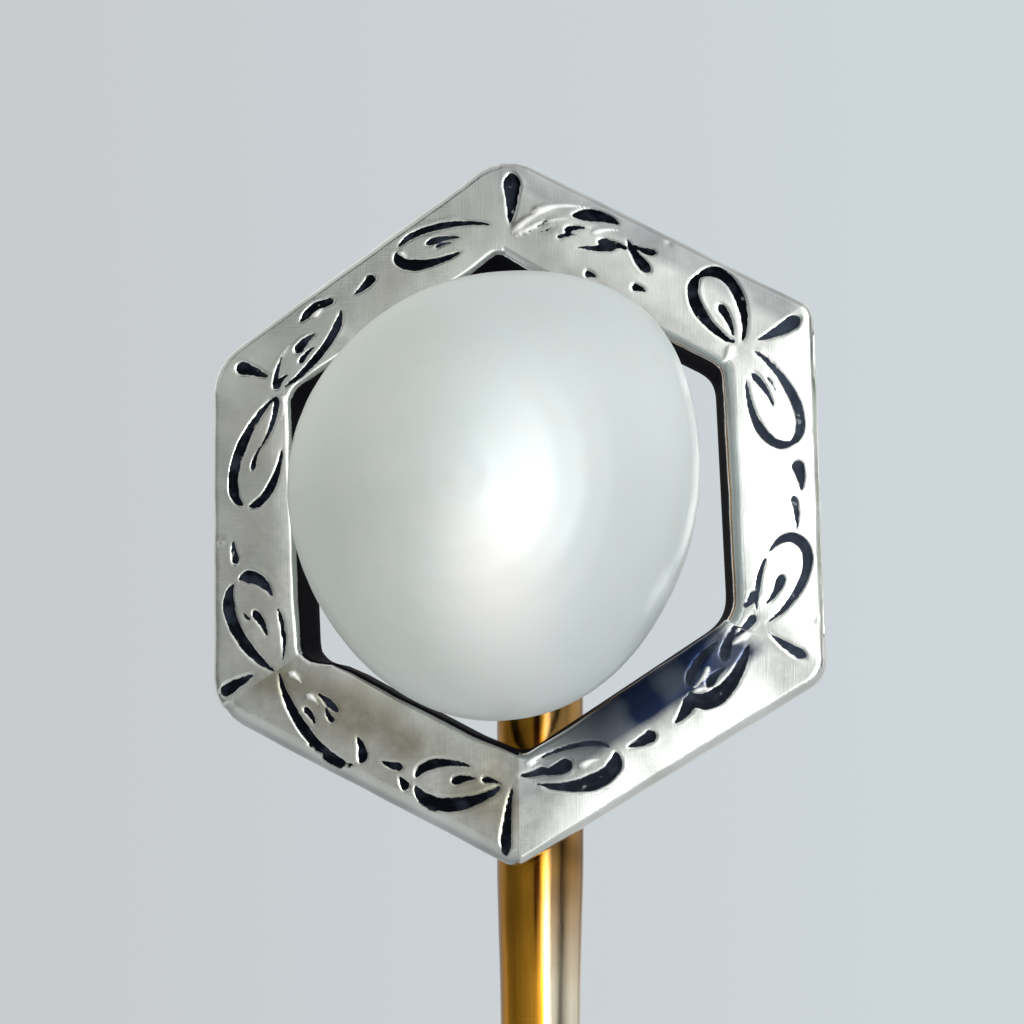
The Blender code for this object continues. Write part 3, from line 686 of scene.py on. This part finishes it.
def build_barrel():
    """The keeper's shell, with a knurled grip between two turned grooves."""
    radius, top, base = 2.3 * MM, TIP_Z + 7.0 * MM, TIP_Z + 1.6 * MM
    floor, cone = TIP_Z + 2.1 * MM, TIP_Z + 3.18 * MM
    tail = 1.0 * MM
    grip_low, grip_high = base + 0.95 * MM, top - 2.05 * MM
    profile = [
        (2.0 * MM, top), (radius - 0.12 * MM, top), (radius, top - 0.12 * MM),
        (radius, top - 1.2 * MM), (radius - 0.12 * MM, top - 1.35 * MM),
        (radius - 0.12 * MM, top - 1.6 * MM), (radius, top - 1.75 * MM),
        (radius, base + 0.5 * MM), (radius - 0.3 * MM, base), (tail, base), (tail, floor),
        (1.92 * MM, floor), (1.92 * MM, cone), (2.0 * MM, cone),
    ]
    teeth = 34

    def relief(r, z, turn):
        blend = 0.05 * MM
        outer = ramp((r - 2.2 * MM) / blend)
        grip = ramp((z - grip_low) / blend) * ramp((grip_high - z) / blend)
        pitch = 2 * math.pi * radius / teeth
        along = z / pitch * 2 * math.pi
        one = np.abs(np.sin((turn * teeth + along) / 2))
        two = np.abs(np.sin((turn * teeth - along) / 2))
        diamond = np.minimum(one, two)
        carved = -0.085 * MM * (1 - ramp(diamond * 1.6)) * grip
        levels = (grip_low - 0.16 * MM, grip_high + 0.16 * MM)
        grooves = -0.05 * MM * sum(hump((z - level) / (0.06 * MM)) for level in levels)
        beads = -0.035 * MM * sum(hump((z - top + drop * MM) / blend) for drop in (0.45, 0.85))
        return outer * (carved + grooves + beads)

    return lathe("keeper_barrel", eased(profile, EDGE_EASE), 11 * teeth, 0.055 * MM, relief)


def build_bush():
    """The mouth's ring, with a milled edge and a funnel for the stem."""
    top, lip, cone = TIP_Z + 7.4 * MM, TIP_Z + 7.02 * MM, TIP_Z + 6.22 * MM
    profile = [
        (1.0 * MM, top), (2.05 * MM, top), (2.3 * MM, top - 0.2 * MM), (2.3 * MM, lip),
        (1.98 * MM, lip), (1.98 * MM, cone), (0.62 * MM, cone), (0.62 * MM, top - 0.35 * MM),
    ]
    teeth = 60

    def relief(r, z, turn):
        edge = ramp((r - 2.1 * MM) / (0.1 * MM))
        ring = -0.02 * MM * hump((r - 1.55 * MM) / (0.05 * MM)) * (z > top - 0.02 * MM)
        return edge * -0.022 * MM * (0.5 + 0.5 * np.cos(turn * teeth)) + ring

    return lathe("keeper_bush", eased(profile, EDGE_EASE), 6 * teeth, 0.06 * MM, relief)


def build_knob():
    """The release knob, fluted for the fingers, with a shallow dished end."""
    radius, top, end = 2.0 * MM, TIP_Z + 1.55 * MM, TIP_Z - 1.2 * MM
    socket, socket_end = 0.97 * MM, TIP_Z - 0.25 * MM
    flutes, flute_radius = 16, 0.22 * MM
    dome_height = 0.7 * MM
    dome = end + dome_height
    centre = 1e-7
    profile = [(centre, socket_end), (socket, socket_end), (socket, top)]
    profile += [(radius - 0.15 * MM, top), (radius - 0.05 * MM, top - 0.05 * MM)]
    profile += [(radius, top - 0.15 * MM)]
    for degrees in np.linspace(0, 86, 14):
        a = math.radians(degrees)
        profile.append((radius * math.cos(a), dome - dome_height * math.sin(a)))
    profile.append((centre, end))

    def relief(r, z, turn):
        near = (turn / (2 * math.pi) * flutes + 0.5) % 1 - 0.5
        gap = near * 2 * math.pi * radius / flutes
        round_cut = np.sqrt(np.clip(flute_radius**2 - gap**2, 0, None))
        floor_r = radius + 0.1 * MM - round_cut
        low, high = TIP_Z - 0.4 * MM, TIP_Z + 1.3 * MM
        blend = 0.04 * MM
        within = ramp((z - low) / blend) * ramp((high - z) / blend)
        outer = r > 1.5 * MM
        flute = np.where(outer & (round_cut > 0), np.minimum(floor_r - r, 0), 0) * within
        line = -0.02 * MM * hump((r - 1.1 * MM) / (0.05 * MM)) * (z < dome)
        return flute + line

    return lathe("keeper_knob", profile, 26 * flutes, 0.05 * MM, relief)


def build_stem():
    """The pin wire: drawn, a little uneven, and worn to a long point."""
    surface = surface_of("stem")
    cap_height, start = 0.22 * MM, 4 * MM
    levels = np.concatenate([
        np.linspace(STEM_TOP_Z - cap_height, 12.0 * MM, 120),
        np.linspace(11.9 * MM, TIP_Z + 4.2 * MM, 420),
        np.linspace(TIP_Z + 4.1 * MM, TIP_Z + 0.02 * MM, 90),
    ])
    columns = 72
    turn = round_turn(columns)
    soft = np.array([
        start - surface.ray_cast(Vector((start, 0, z)), Vector((-1, 0, 0)))[3] for z in levels
    ])
    for _ in range(6):
        soft[1:-1] = row_mean(soft)
    cap = [
        (soft[0] * share, STEM_TOP_Z - cap_height * (1 - math.sqrt(1 - share**4)))
        for share in (0.0, 0.35, 0.7, 0.9)
    ]
    radii = np.concatenate([[radius for radius, height in cap], soft, [0.0]])
    heights = np.concatenate([[height for radius, height in cap], levels, [TIP_Z]])
    r = radii[:, None] * np.ones(columns)
    z = heights[:, None] * np.ones(columns)
    flat = turned(np.ones_like(r), z / (2.2 * MM), turn)
    uneven = smooth_noise(flat, 0.9, 12).reshape(r.shape)
    small = smooth_noise(flat * (3.0, 3.0, 1.4), 0.5, 14).reshape(r.shape)
    r = r + (0.0045 * uneven + 0.0016 * small) * MM * ramp(r / (0.3 * MM))
    wire = mesh_object("pin_wire", turned(r, z, turn), grid_faces(len(radii), columns))
    return outward(wire, WELD)


def refined(node, name, bevel=0.0, levels=0):
    """A part's own shape with its edges broken, and its faces divided levels times."""
    mesh = NODES[node].data.copy()
    bm = bmesh.new()
    bm.from_mesh(mesh)
    bmesh.ops.remove_doubles(bm, verts=bm.verts, dist=2e-7)
    bmesh.ops.dissolve_limit(bm, angle_limit=math.radians(1), verts=bm.verts, edges=bm.edges)
    corner = math.radians(40)
    sharp = [e for e in bm.edges if len(e.link_faces) == 2 and e.calc_face_angle(0) > corner]
    if bevel and sharp:
        bmesh.ops.bevel(
            bm, geom=sharp, offset=bevel * MM, segments=2, profile=0.5, affect="EDGES",
            clamp_overlap=True,
        )
    bmesh.ops.triangulate(bm, faces=[f for f in bm.faces if len(f.verts) > 4])
    if levels:
        bmesh.ops.subdivide_edges(bm, edges=bm.edges[:], cuts=levels, use_grid_fill=True)
    for f in bm.faces:
        f.smooth = True
    bm.to_mesh(mesh)
    bm.free()
    mesh.set_sharp_from_angle(angle=math.radians(32))
    mesh.materials.clear()
    return placed(bpy.data.objects.new(name, mesh))


def build_solder(node, name, seed):
    """A run of solder: its part swollen smooth again from a close remesh, with a puddled skin."""
    obj = refined(node, name)
    remesh = obj.modifiers.new("close", "REMESH")
    remesh.mode = "VOXEL"
    remesh.voxel_size = 0.045 * MM
    smooth = obj.modifiers.new("flow", "SMOOTH")
    smooth.factor, smooth.iterations = 0.5, 4
    graph = bpy.context.evaluated_depsgraph_get()
    mesh = bpy.data.meshes.new_from_object(obj.evaluated_get(graph))
    obj.modifiers.clear()
    obj.data = mesh
    co, normals = vertex_vectors(mesh, "co"), vertex_vectors(mesh, "normal")
    puddle = smooth_noise(co / MM, 0.35, seed) * 0.014
    puddle += smooth_noise(co / MM, 0.12, seed + 3) * 0.005
    mesh.vertices.foreach_set("co", (co + normals * puddle[:, None] * MM).ravel())
    mesh.polygons.foreach_set("use_smooth", [True] * len(mesh.polygons))
    mesh.update()
    return obj


def build_spring():
    """The release spring, wound from round wire with closed ends."""
    low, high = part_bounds("release_spring")
    wire, radius, turns = 0.09 * MM, 1.27 * MM, 4
    around, along = 12, 40 * turns + 1
    points = []
    for i in range(along):
        t = i / (along - 1)
        a = 2 * math.pi * turns * t
        z = low.z + wire + (high.z - low.z - 2 * wire) * t
        centre = np.array([radius * math.cos(a), radius * math.sin(a), z])
        out = np.array([math.cos(a), math.sin(a), 0.0])
        for k in range(around):
            b = 2 * math.pi * k / around
            points.append(centre + wire * (out * math.cos(b) + np.array([0, 0, 1.0]) * math.sin(b)))
    faces = [tuple(f) for f in grid_faces(along, around)]
    faces.append(tuple(range(around)))
    faces.append(tuple(reversed(range((along - 1) * around, along * around))))
    return outward(mesh_object("keeper_spring", points, faces))


# ---------------- materials

def feed(made, inputs):
    """Gives a node its inputs: a socket is linked, and anything else is set on the input itself."""
    for name, value in inputs.items():
        if isinstance(value, bpy.types.NodeSocket):
            made.id_data.links.new(value, made.inputs[name])
        else:
            made.inputs[name].default_value = value
    return made


def node(kind, inputs, tree=None, **settings):
    """A new node with its inputs and settings, by default in the tree its inputs come from."""
    sockets = [value for value in inputs.values() if isinstance(value, bpy.types.NodeSocket)]
    made = (tree or sockets[0].id_data).nodes.new(kind)
    for name, value in settings.items():
        setattr(made, name, value)
    return feed(made, inputs)


def maths(operation, first, second=0.0):
    return node("ShaderNodeMath", {0: first, 1: second}, operation=operation).outputs[0]


def plus(first, second):
    return maths("ADD", first, second)


def times(first, second):
    return maths("MULTIPLY", first, second)


def mixed(factor, first, second):
    """The first colour at a factor of 0, the second at 1."""
    inputs = {0: factor, 6: first, 7: second}
    return node("ShaderNodeMix", inputs, data_type="RGBA", clamp_factor=True).outputs[2]


def ranged(value, low, high, to_low=0.0, to_high=1.0, soft=False):
    """A value's range stretched onto another, and held at its ends."""
    inputs = {"Value": value, "From Min": low, "From Max": high, "To Min": to_low, "To Max": to_high}
    kind = "SMOOTHSTEP" if soft else "LINEAR"
    return node("ShaderNodeMapRange", inputs, interpolation_type=kind).outputs["Result"]


def rgb(red, green, blue):
    return (red, green, blue, 1.0)


def new_material(name):
    """An empty material with its shader, and the position in millimetres."""
    made = bpy.data.materials.new(name)
    made.use_nodes = True
    tree = made.node_tree
    tree.nodes.clear()
    shader = node("ShaderNodeBsdfPrincipled", {}, tree)
    node("ShaderNodeOutputMaterial", {0: shader.outputs[0]})
    place = node("ShaderNodeTexCoord", {}, tree).outputs["Object"]
    in_mm = node("ShaderNodeVectorMath", {0: place, 1: (1 / MM,) * 3}, operation="MULTIPLY")
    return made, shader, in_mm.outputs[0]


def stretched(vector, scale, turn=(0.0, 0.0, 0.0)):
    inputs = {"Vector": vector, "Rotation": turn, "Scale": scale}
    return node("ShaderNodeMapping", inputs).outputs[0]


def fleck(vector, scale, detail=3.0):
    """Noise from 0 to 1, with scale features a millimetre."""
    inputs = {"Vector": vector, "Scale": scale, "Detail": detail, "Roughness": 0.55}
    return node("ShaderNodeTexNoise", inputs).outputs[0]


def mottled(amount, first, second):
    """Two colours spread by a noise, as red, green and blue."""
    return mixed(ranged(amount, 0.35, 0.70), rgb(*first), rgb(*second))


def bumped(height, distance, strength=1.0, under=None):
    """Bump with a height of 0 to 1 and a distance in mm."""
    inputs = {"Height": height, "Distance": distance * MM, "Strength": strength}
    if under is not None:
        inputs["Normal"] = under
    return node("ShaderNodeBump", inputs).outputs[0]


def stored(shader, name):
    """What paint stored at the vertices, for a shader's material."""
    return node("ShaderNodeAttribute", {}, shader.id_data, attribute_name=name).outputs["Fac"]


def white_gold():
    """Scuffed white metal: cuts black with dirt and painted shade, walls black with painted shade,
    a painted dark reflection, and bright burrs and rims.
    """
    made, shader, mm = new_material("white_gold_engraved")
    names = ("cut", "wall", "rim", "burr", "painted_cut_light", "painted_olive_shade", "painted_dark_reflection")
    cut, wall, rim, burr, painted_cut_light, painted_olive_shade, painted_dark_reflection = (stored(shader, name) for name in names)
    fine = fleck(mm, 9.0)
    metal = mottled(fleck(mm, 1.1, 4.0), (0.82, 0.84, 0.82), (0.64, 0.67, 0.64))
    # Paler rims: partly edge wear and partly a painted highlight.
    metal = mixed(ranged(rim, 0.3, 1.0, 0.0, 0.45), metal, rgb(0.86, 0.90, 0.93))
    # Painted olive shade on the left-hand bars.
    metal = mixed(times(painted_olive_shade, 0.82), metal, rgb(0.36, 0.34, 0.25))
    # Painted dark reflection and shade: navy on the lower right bar and a few bands.
    metal = mixed(times(painted_dark_reflection, 0.975), metal, rgb(0.006, 0.020, 0.078))
    # Painted highlight: the burrs near white, and rougher.
    metal = mixed(burr, metal, rgb(0.96, 0.97, 0.96))

    # The cuts are black, partly dirt and partly painted shade, with ragged edges, painted glints
    # here and there, and painted paler on the bars where the light falls.
    ragged = times(maths("SUBTRACT", fleck(mm, 14.0), 0.5), 0.55)
    cut = ranged(plus(cut, ragged), 0.34, 0.62, soft=True)
    glint = ranged(fleck(mm, 5.0, 2.0), 0.66, 0.72, 1.0, 0.75, soft=True)
    cut = times(cut, glint)
    pale = plus(ranged(fleck(mm, 3.4, 2.0), 0.46, 0.68, 0.0, 0.45), painted_cut_light)
    dark, light = rgb(0.003, 0.004, 0.007), rgb(0.048, 0.060, 0.086)
    struck = mixed(ranged(pale, 0.1, 1.1), dark, light)
    # Painted shade: the opening's walls and the pearl's painted shadow go black.
    painted_wall_shade = ranged(plus(wall, times(fine, 0.12)), 0.40, 0.54, soft=True)
    metal = mixed(painted_wall_shade, metal, rgb(0.006, 0.006, 0.010))
    black = maths("MAXIMUM", cut, painted_wall_shade)
    rough = plus(ranged(fine, 0.3, 0.75, 0.15, 0.26), times(burr, 0.26))

    # Hair scratches two ways, over a faint dimpling.
    hair = fleck(stretched(mm, (2.0, 2.0, 60.0), (0.0, 0.5, 0.0)), 1.0, 2.0)
    crossing = fleck(stretched(mm, (55.0, 2.0, 1.6), (0.0, -0.9, 0.0)), 1.0, 2.0)
    normal = bumped(hair, 0.0016, 0.6)
    normal = bumped(crossing, 0.0014, 0.5, normal)
    feed(shader, {
        "Base Color": mixed(cut, metal, struck),
        "Roughness": plus(rough, times(black, 0.5)),
        "Metallic": ranged(black, 0.1, 0.8, 1.0, 0.0),
        "Specular IOR Level": 0.02,
        "Normal": bumped(fleck(mm, 22.0, 2.0), 0.0010, 0.5, normal),
    })
    return made


def nacre():
    """Pearl: a paler cool side and a greenish one and darker above, as painted light and shade, with
    a painted warm highlight low in the middle.
    """
    made, shader, mm = new_material("pearl_nacre")
    broad = fleck(mm, 0.42, 2.0)
    cloud = fleck(mm, 2.4, 4.0)
    middle = sum(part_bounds("pearl"), Vector()) / 2 / MM
    away = {0: mm, 1: tuple(middle)}
    from_middle = node("ShaderNodeVectorMath", away, operation="SUBTRACT").outputs[0]
    across, _, up = node("ShaderNodeSeparateXYZ", {0: from_middle}).outputs
    # Painted light and shade: the right side paler and bluer, the left greener, stirred by a random
    # overtone.
    cool = plus(across, times(maths("SUBTRACT", broad, 0.5), 5.0))
    green, blue = rgb(0.60, 0.65, 0.61), rgb(0.66, 0.73, 0.74)
    body = mixed(ranged(cool, -2.2, 1.8, soft=True), green, blue)
    body = mixed(ranged(cloud, 0.45, 0.75, 0.0, 0.35), body, rgb(0.72, 0.68, 0.66))
    # Painted shade: darker above.
    above = ranged(up, 1.0, 3.4, 0.0, 0.42, soft=True)
    body = mixed(above, body, rgb(0.40, 0.45, 0.45))
    # Painted highlight: a warm white patch low in the middle.
    patch = node("ShaderNodeMapping", {
        "Vector": from_middle, "Location": (-0.66, 0.0, 1.22), "Scale": (1.2, 0.0, 0.85),
    })
    far = node("ShaderNodeVectorMath", {0: patch.outputs[0]}, operation="LENGTH")
    far = plus(far.outputs["Value"], times(broad, 0.5))
    painted_pearl_highlight = ranged(far, 0.2, 1.9, 0.8, 0.0, soft=True)
    normal = bumped(fleck(mm, 1.8), 0.010, 0.5)
    feed(shader, {
        "Base Color": mixed(painted_pearl_highlight, body, rgb(0.96, 0.93, 0.90)),
        "IOR": 1.55,
        "Subsurface Weight": 0.22,
        "Subsurface Radius": (1.0, 0.9, 0.8),
        "Subsurface Scale": 0.6 * MM,
        "Metallic": 0.36,
        "Coat Weight": 0.35,
        "Coat Roughness": 0.22,
        "Coat IOR": 1.5,
        "Roughness": ranged(cloud, 0.3, 0.7, 0.48, 0.54),
        "Normal": bumped(fleck(mm, 30.0, 2.0), 0.0006, 0.4, normal),
    })
    return made


def drawn_gold():
    """Drawn yellow gold, painted pale as a highlight and reflection, and painted darker as shade."""
    made, shader, mm = new_material("drawn_gold_wire")
    broad = fleck(stretched(mm, (1.0, 1.0, 0.35)), 1.4, 4.0)
    gold = mottled(broad, (0.78, 0.40, 0.045), (0.62, 0.27, 0.02))
    # Painted highlight and reflection: pale along the wire's right side.
    gold = mixed(stored(shader, "painted_wire_highlight"), gold, rgb(0.90, 0.86, 0.70))
    lines = fleck(stretched(mm, (16.0, 16.0, 0.20)), 1.0)
    rings = fleck(stretched(mm, (0.8, 0.8, 26.0)), 1.0, 2.0)
    normal = bumped(lines, 0.0022, 0.7)
    normal = bumped(ranged(rings, 0.62, 0.74), 0.0012, 0.4, normal)
    feed(shader, {
        # Painted shade and dark reflection.
        "Base Color": mixed(stored(shader, "painted_wire_shade"), gold, rgb(0.036, 0.010, 0.002)),
        "Metallic": 1.0,
        "Roughness": ranged(lines, 0.3, 0.7, 0.14, 0.26),
        "Normal": bumped(fleck(mm, 3.0), 0.006, 0.4, normal),
    })
    return made


def gold_plate():
    """Turned and plated brass, darker in its corners and paler on its edges."""
    made, shader, mm = new_material("turned_gold_plate")
    gold = mottled(fleck(mm, 0.9), (0.88, 0.62, 0.24), (0.80, 0.52, 0.17))
    edge = node("ShaderNodeNewGeometry", {}, shader.id_data).outputs["Pointiness"]
    # Darker in the hollows and paler on the edges, by the mesh's pointiness.
    gold = mixed(ranged(edge, 0.49, 0.44, 0.0, 0.55), gold, rgb(0.22, 0.12, 0.04))
    gold = mixed(ranged(edge, 0.53, 0.60, 0.0, 0.45), gold, rgb(0.95, 0.80, 0.50))
    marks = fleck(stretched(mm, (0.6, 0.6, 34.0)), 1.0, 2.0)
    normal = bumped(marks, 0.0020, 0.6)
    feed(shader, {
        "Base Color": gold,
        "Metallic": 1.0,
        "Roughness": ranged(marks, 0.3, 0.7, 0.18, 0.32),
        "Normal": bumped(fleck(mm, 6.0, 4.0), 0.0020, 0.4, normal),
    })
    return made


def hard_steel():
    """Steel, ground round."""
    made, shader, mm = new_material("ground_steel")
    ground = fleck(stretched(mm, (1.0, 1.0, 30.0)), 1.0, 2.0)
    feed(shader, {
        "Base Color": mottled(fleck(mm, 2.0), (0.60, 0.61, 0.62), (0.48, 0.48, 0.49)),
        "Metallic": 1.0,
        "Roughness": ranged(ground, 0.3, 0.7, 0.16, 0.34),
        "Normal": bumped(ground, 0.0015, 0.6),
    })
    return made


def solder_metal():
    """Old solder, stained in patches."""
    made, shader, mm = new_material("old_solder")
    broad = fleck(mm, 2.6, 5.0)
    bright, dull = rgb(0.62, 0.58, 0.48), rgb(0.34, 0.29, 0.20)
    feed(shader, {
        "Base Color": mixed(ranged(broad, 0.35, 0.68), bright, dull),
        "Metallic": 1.0,
        "Roughness": ranged(broad, 0.3, 0.7, 0.28, 0.52),
        "Normal": bumped(fleck(mm, 8.0, 4.0), 0.008, 0.6),
    })
    return made


def grainy(name, noise_scale, noise_detail, first, second, rough, bump):
    """A dull material of one grain: its two colours, its roughness range, and its bump."""
    made, shader, mm = new_material(name)
    grain = fleck(mm, noise_scale, noise_detail)
    feed(shader, {
        "Base Color": mottled(grain, first, second),
        "Roughness": ranged(grain, 0.3, 0.7, *rough),
        "Normal": bumped(grain, *bump),
    })
    return made


def cement():
    colours = ((0.66, 0.58, 0.42), (0.50, 0.42, 0.28))
    return grainy("pearl_cement", 12.0, 4.0, *colours, (0.5, 0.7), (0.01, 0.6))


def slab():
    colours = ((0.70, 0.72, 0.73), (0.64, 0.66, 0.68))
    return grainy("pale_slab", 0.5, 5.0, *colours, (0.55, 0.75), (0.02, 0.4))


# ---------------- light

# Soft lights and dark places in the room: azimuth and elevation in degrees as seen from the object
# (0 is in front of it, 90 to its right), their half widths, and how much they add.
ROOM = (
    (18.0, -12.0, 16.0, 38.0, 3.0),
    (27.0, -11.0, 7.0, 30.0, 5.8),
    (52.0, 0.0, 9.0, 60.0, 0.26),
    (100.0, 0.0, 24.0, 60.0, 0.12),
    (6.0, -26.0, 26.0, 15.0, 1.3),
    (72.0, 0.0, 7.0, 60.0, -0.50),
    (-26.0, 27.0, 11.0, 11.0, -0.68),
    (154.0, -8.0, 6.0, 40.0, -0.45),
    (-70.0, 0.0, 34.0, 45.0, -0.18),
)
ROOM_FRONT, ROOM_BACK, ROOM_TOP, ROOM_LEAST = 0.36, 0.66, 0.32, 0.02


def bell(value, middle, half_width):
    """The square of how far a value is from the middle of a light, in its half widths."""
    off = maths("DIVIDE", maths("SUBTRACT", value, math.radians(middle)), math.radians(half_width))
    return times(off, off)


def room_light():
    """What the metal and the pearl mirror, and the plain pale ground that the camera sees."""
    world = bpy.data.worlds.new("studio")
    bpy.context.scene.world = world
    world.use_nodes = True
    tree = world.node_tree
    tree.nodes.clear()
    way = node("ShaderNodeTexCoord", {}, tree).outputs["Generated"]
    x, y, z = node("ShaderNodeSeparateXYZ", {0: way}).outputs
    azimuth = maths("ARCTAN2", x, times(y, -1.0))
    # Straight up and straight down stay just inside the arc sine's range.
    elevation = maths("ARCSINE", times(z, 0.99999))
    total = ranged(y, -0.10, 0.35, ROOM_FRONT, ROOM_BACK, soft=True)
    total = plus(total, ranged(z, 0.06, 0.26, 0.0, ROOM_TOP, soft=True))
    for az, el, wide, tall, strength in ROOM:
        square = plus(bell(azimuth, az, wide), bell(elevation, el, tall))
        total = plus(total, times(maths("EXPONENT", times(square, -1.0)), strength))
    total = maths("MAXIMUM", total, ROOM_LEAST)
    lit = node("ShaderNodeBackground", {"Color": rgb(1.0, 1.0, 0.985), "Strength": total})
    ground = mixed(ranged(x, -0.33, -0.08), rgb(0.580, 0.605, 0.625), rgb(0.615, 0.675, 0.710))
    seen = node("ShaderNodeBackground", {"Color": ground, "Strength": 1.0})
    camera = node("ShaderNodeLightPath", {}, tree).outputs["Is Camera Ray"]
    both = node("ShaderNodeMixShader", {0: camera, 1: lit.outputs[0], 2: seen.outputs[0]})
    node("ShaderNodeOutputWorld", {0: both.outputs[0]})


def build_floor():
    """A plain pale slab, gently uneven, that the keeper's knob stands on."""
    size, count = 150 * MM, 60
    level, uneven = 12 * MM, 0.15 * MM
    line = np.linspace(-size, size, count)
    x, y = (grid.ravel() for grid in np.meshgrid(line, line, indexing="ij"))
    far = ramp(np.hypot(x, y) / level - 1)
    lift = (smooth_noise(in_plane(np.stack([x, y], 1)), 30 * MM, 21) - 1) * uneven * far
    faces = [
        (i * count + j, (i + 1) * count + j, (i + 1) * count + j + 1, i * count + j + 1)
        for i in range(count - 1)
        for j in range(count - 1)
    ]
    return mesh_object("floor", np.stack([x, y, part_box[0].z + lift], 1), faces)


def build_camera():
    """Close in front, a little to the right and below the head, looking up at it."""
    distance = 50 * MM
    az, el = math.radians(12.0), math.radians(-7.2)
    back = Vector((math.sin(az) * math.cos(el), -math.cos(az) * math.cos(el), math.sin(el)))
    lens = bpy.data.cameras.new("camera")
    lens.sensor_width = 36.0
    lens.lens = 117.8
    lens.shift_x, lens.shift_y = -0.0065, 0.0010
    lens.clip_start, lens.clip_end = 1 * MM, 2.0
    camera = placed(bpy.data.objects.new("camera", lens))
    camera.location = Vector((HEAD_X, FACE_Y, HEAD_Z)) + back * distance
    camera.rotation_mode = "QUATERNION"
    camera.rotation_quaternion = (-back).to_track_quat("-Z", "Y")
    bpy.context.scene.camera = camera


def build_lamp():
    """One soft lamp, in front and to the right, looking at the head."""
    lamp = bpy.data.lights.new("softbox", "AREA")
    lamp.shape = "RECTANGLE"
    lamp.size, lamp.size_y = 0.10, 0.14
    lamp.energy = 0.03
    lamp.color = (1.0, 0.99, 0.97)
    obj = placed(bpy.data.objects.new("softbox", lamp))
    obj.location = (0.10, -0.23, 0.04)
    obj.rotation_mode = "QUATERNION"
    obj.rotation_quaternion = (obj.location - Vector((0, 0, HEAD_Z))).to_track_quat("Z", "Y")


# ---------------- the whole object

def paint_wire_light_and_shade(obj):
    """Where the wire is painted pale along its right side, as a painted highlight and reflection,
    and
    painted darker as shade: behind the head, near the frame and on its left, with a streak of
    painted dark reflection beside the highlight.

    Both go by the angle round the wire, in degrees from its front towards its right, and by the
    height in mm. A noise makes the pale side's front edge and the streak of painted reflection
    waver.
    """
    co = vertex_vectors(obj.data, "co") / MM
    azimuth = np.degrees(np.arctan2(co[:, 0], -co[:, 1]))
    patch = smooth_noise(co * (1.0, 1.0, 0.30), 0.6, 31)
    from_frame = FRAME_BOX[0].z / MM - co[:, 2]
    near_frame = ramp(1.3 - from_frame / 1.4)
    # Painted highlight and reflection: the wire's right side pale.
    painted_wire_highlight = 0.9 * ramp((azimuth - 15 - 4 * patch) / 6) * ramp((112 - azimuth) / 30)
    paint(obj, "painted_wire_highlight", painted_wire_highlight * np.clip(0.18 + from_frame / 2.4, 0.18, 1))

    # Painted shade behind the head, on the left and front left near the frame; the streak is a
    # painted dark reflection beside the highlight.
    behind_head = ramp((co[:, 2] - 11.0) / 2.2) * ramp(0.72 + 0.40 * smooth_noise(co, 0.5, 33))
    streak = hump((azimuth - 7 - 2 * patch) / 8.0) * (0.58 + 0.57 * near_frame)
    shaded = 0.72 * ramp((-44 - azimuth) / 16) * ramp((azimuth + 130) / 20)
    shaded = shaded * ramp(1.5 - from_frame / 4.0)
    front_left = 0.30 * near_frame * (azimuth > -90) * (azimuth < 7) * (1 + 0.5 * patch)
    # Painted shade on the right side just under the frame.
    painted_shade_under_frame = 0.24 * ramp((azimuth - 22) / 12) * ramp((92 - azimuth) / 20)
    painted_shade_under_frame = painted_shade_under_frame * ramp(0.75 - from_frame / 0.9 + 0.5 * patch)
    painted_wire_shade = np.maximum.reduce([0.82 * behind_head, streak, shaded, front_left, painted_shade_under_frame])
    paint(obj, "painted_wire_shade", ramp(painted_wire_shade))


def dress(obj, material, body, node_name):
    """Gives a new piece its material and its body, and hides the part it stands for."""
    obj.data.materials.clear()
    obj.data.materials.append(material)
    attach(obj, body)
    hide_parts(node_name)
    return obj


def keep(node_name, material):
    """Gives a part that keeps its own shape its finished material."""
    NODES[node_name].data.materials.clear()
    NODES[node_name].data.materials.append(material)


def main():
    bpy.context.scene.view_settings.view_transform = "Standard"
    room_light()
    build_lamp()
    build_camera()
    floor = build_floor()
    floor.data.materials.append(slab())

    gold, plate, steel, solder = drawn_gold(), gold_plate(), hard_steel(), solder_metal()
    dress(build_frame(), white_gold(), "pin", "hex_frame")
    dress(build_pearl(), nacre(), "pin", "pearl")
    wire = build_stem()
    paint_wire_light_and_shade(wire)
    dress(wire, gold, "pin", "stem")
    dress(refined("pearl_cup", "pearl_seat", 0.04), plate, "pin", "pearl_cup")
    dress(build_solder("lower_solder", "solder_low", 3), solder, "pin", "lower_solder")
    dress(build_solder("upper_solder", "solder_high", 8), solder, "pin", "upper_solder")
    dress(build_barrel(), plate, "guard", "guard_barrel")
    dress(build_bush(), plate, "guard", "mouth_bush")
    spring = dress(build_spring(), steel, "guard", "release_spring")
    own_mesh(spring)
    dress(build_knob(), plate, "release", "release_knob")
    carrier = refined("ball_carrier", "keeper_carrier", 0.02)
    dress(carrier, steel, "release", "ball_carrier")
    keep("pearl_peg", gold)
    keep("pearl_cement", cement())
    keep("cone_sleeve", steel)
    for number in (1, 2, 3):
        ball = refined(f"lock_ball_{number}", f"keeper_ball_{number}", levels=1)
        dress(ball, steel, f"ball_{number}", f"lock_ball_{number}")


main()
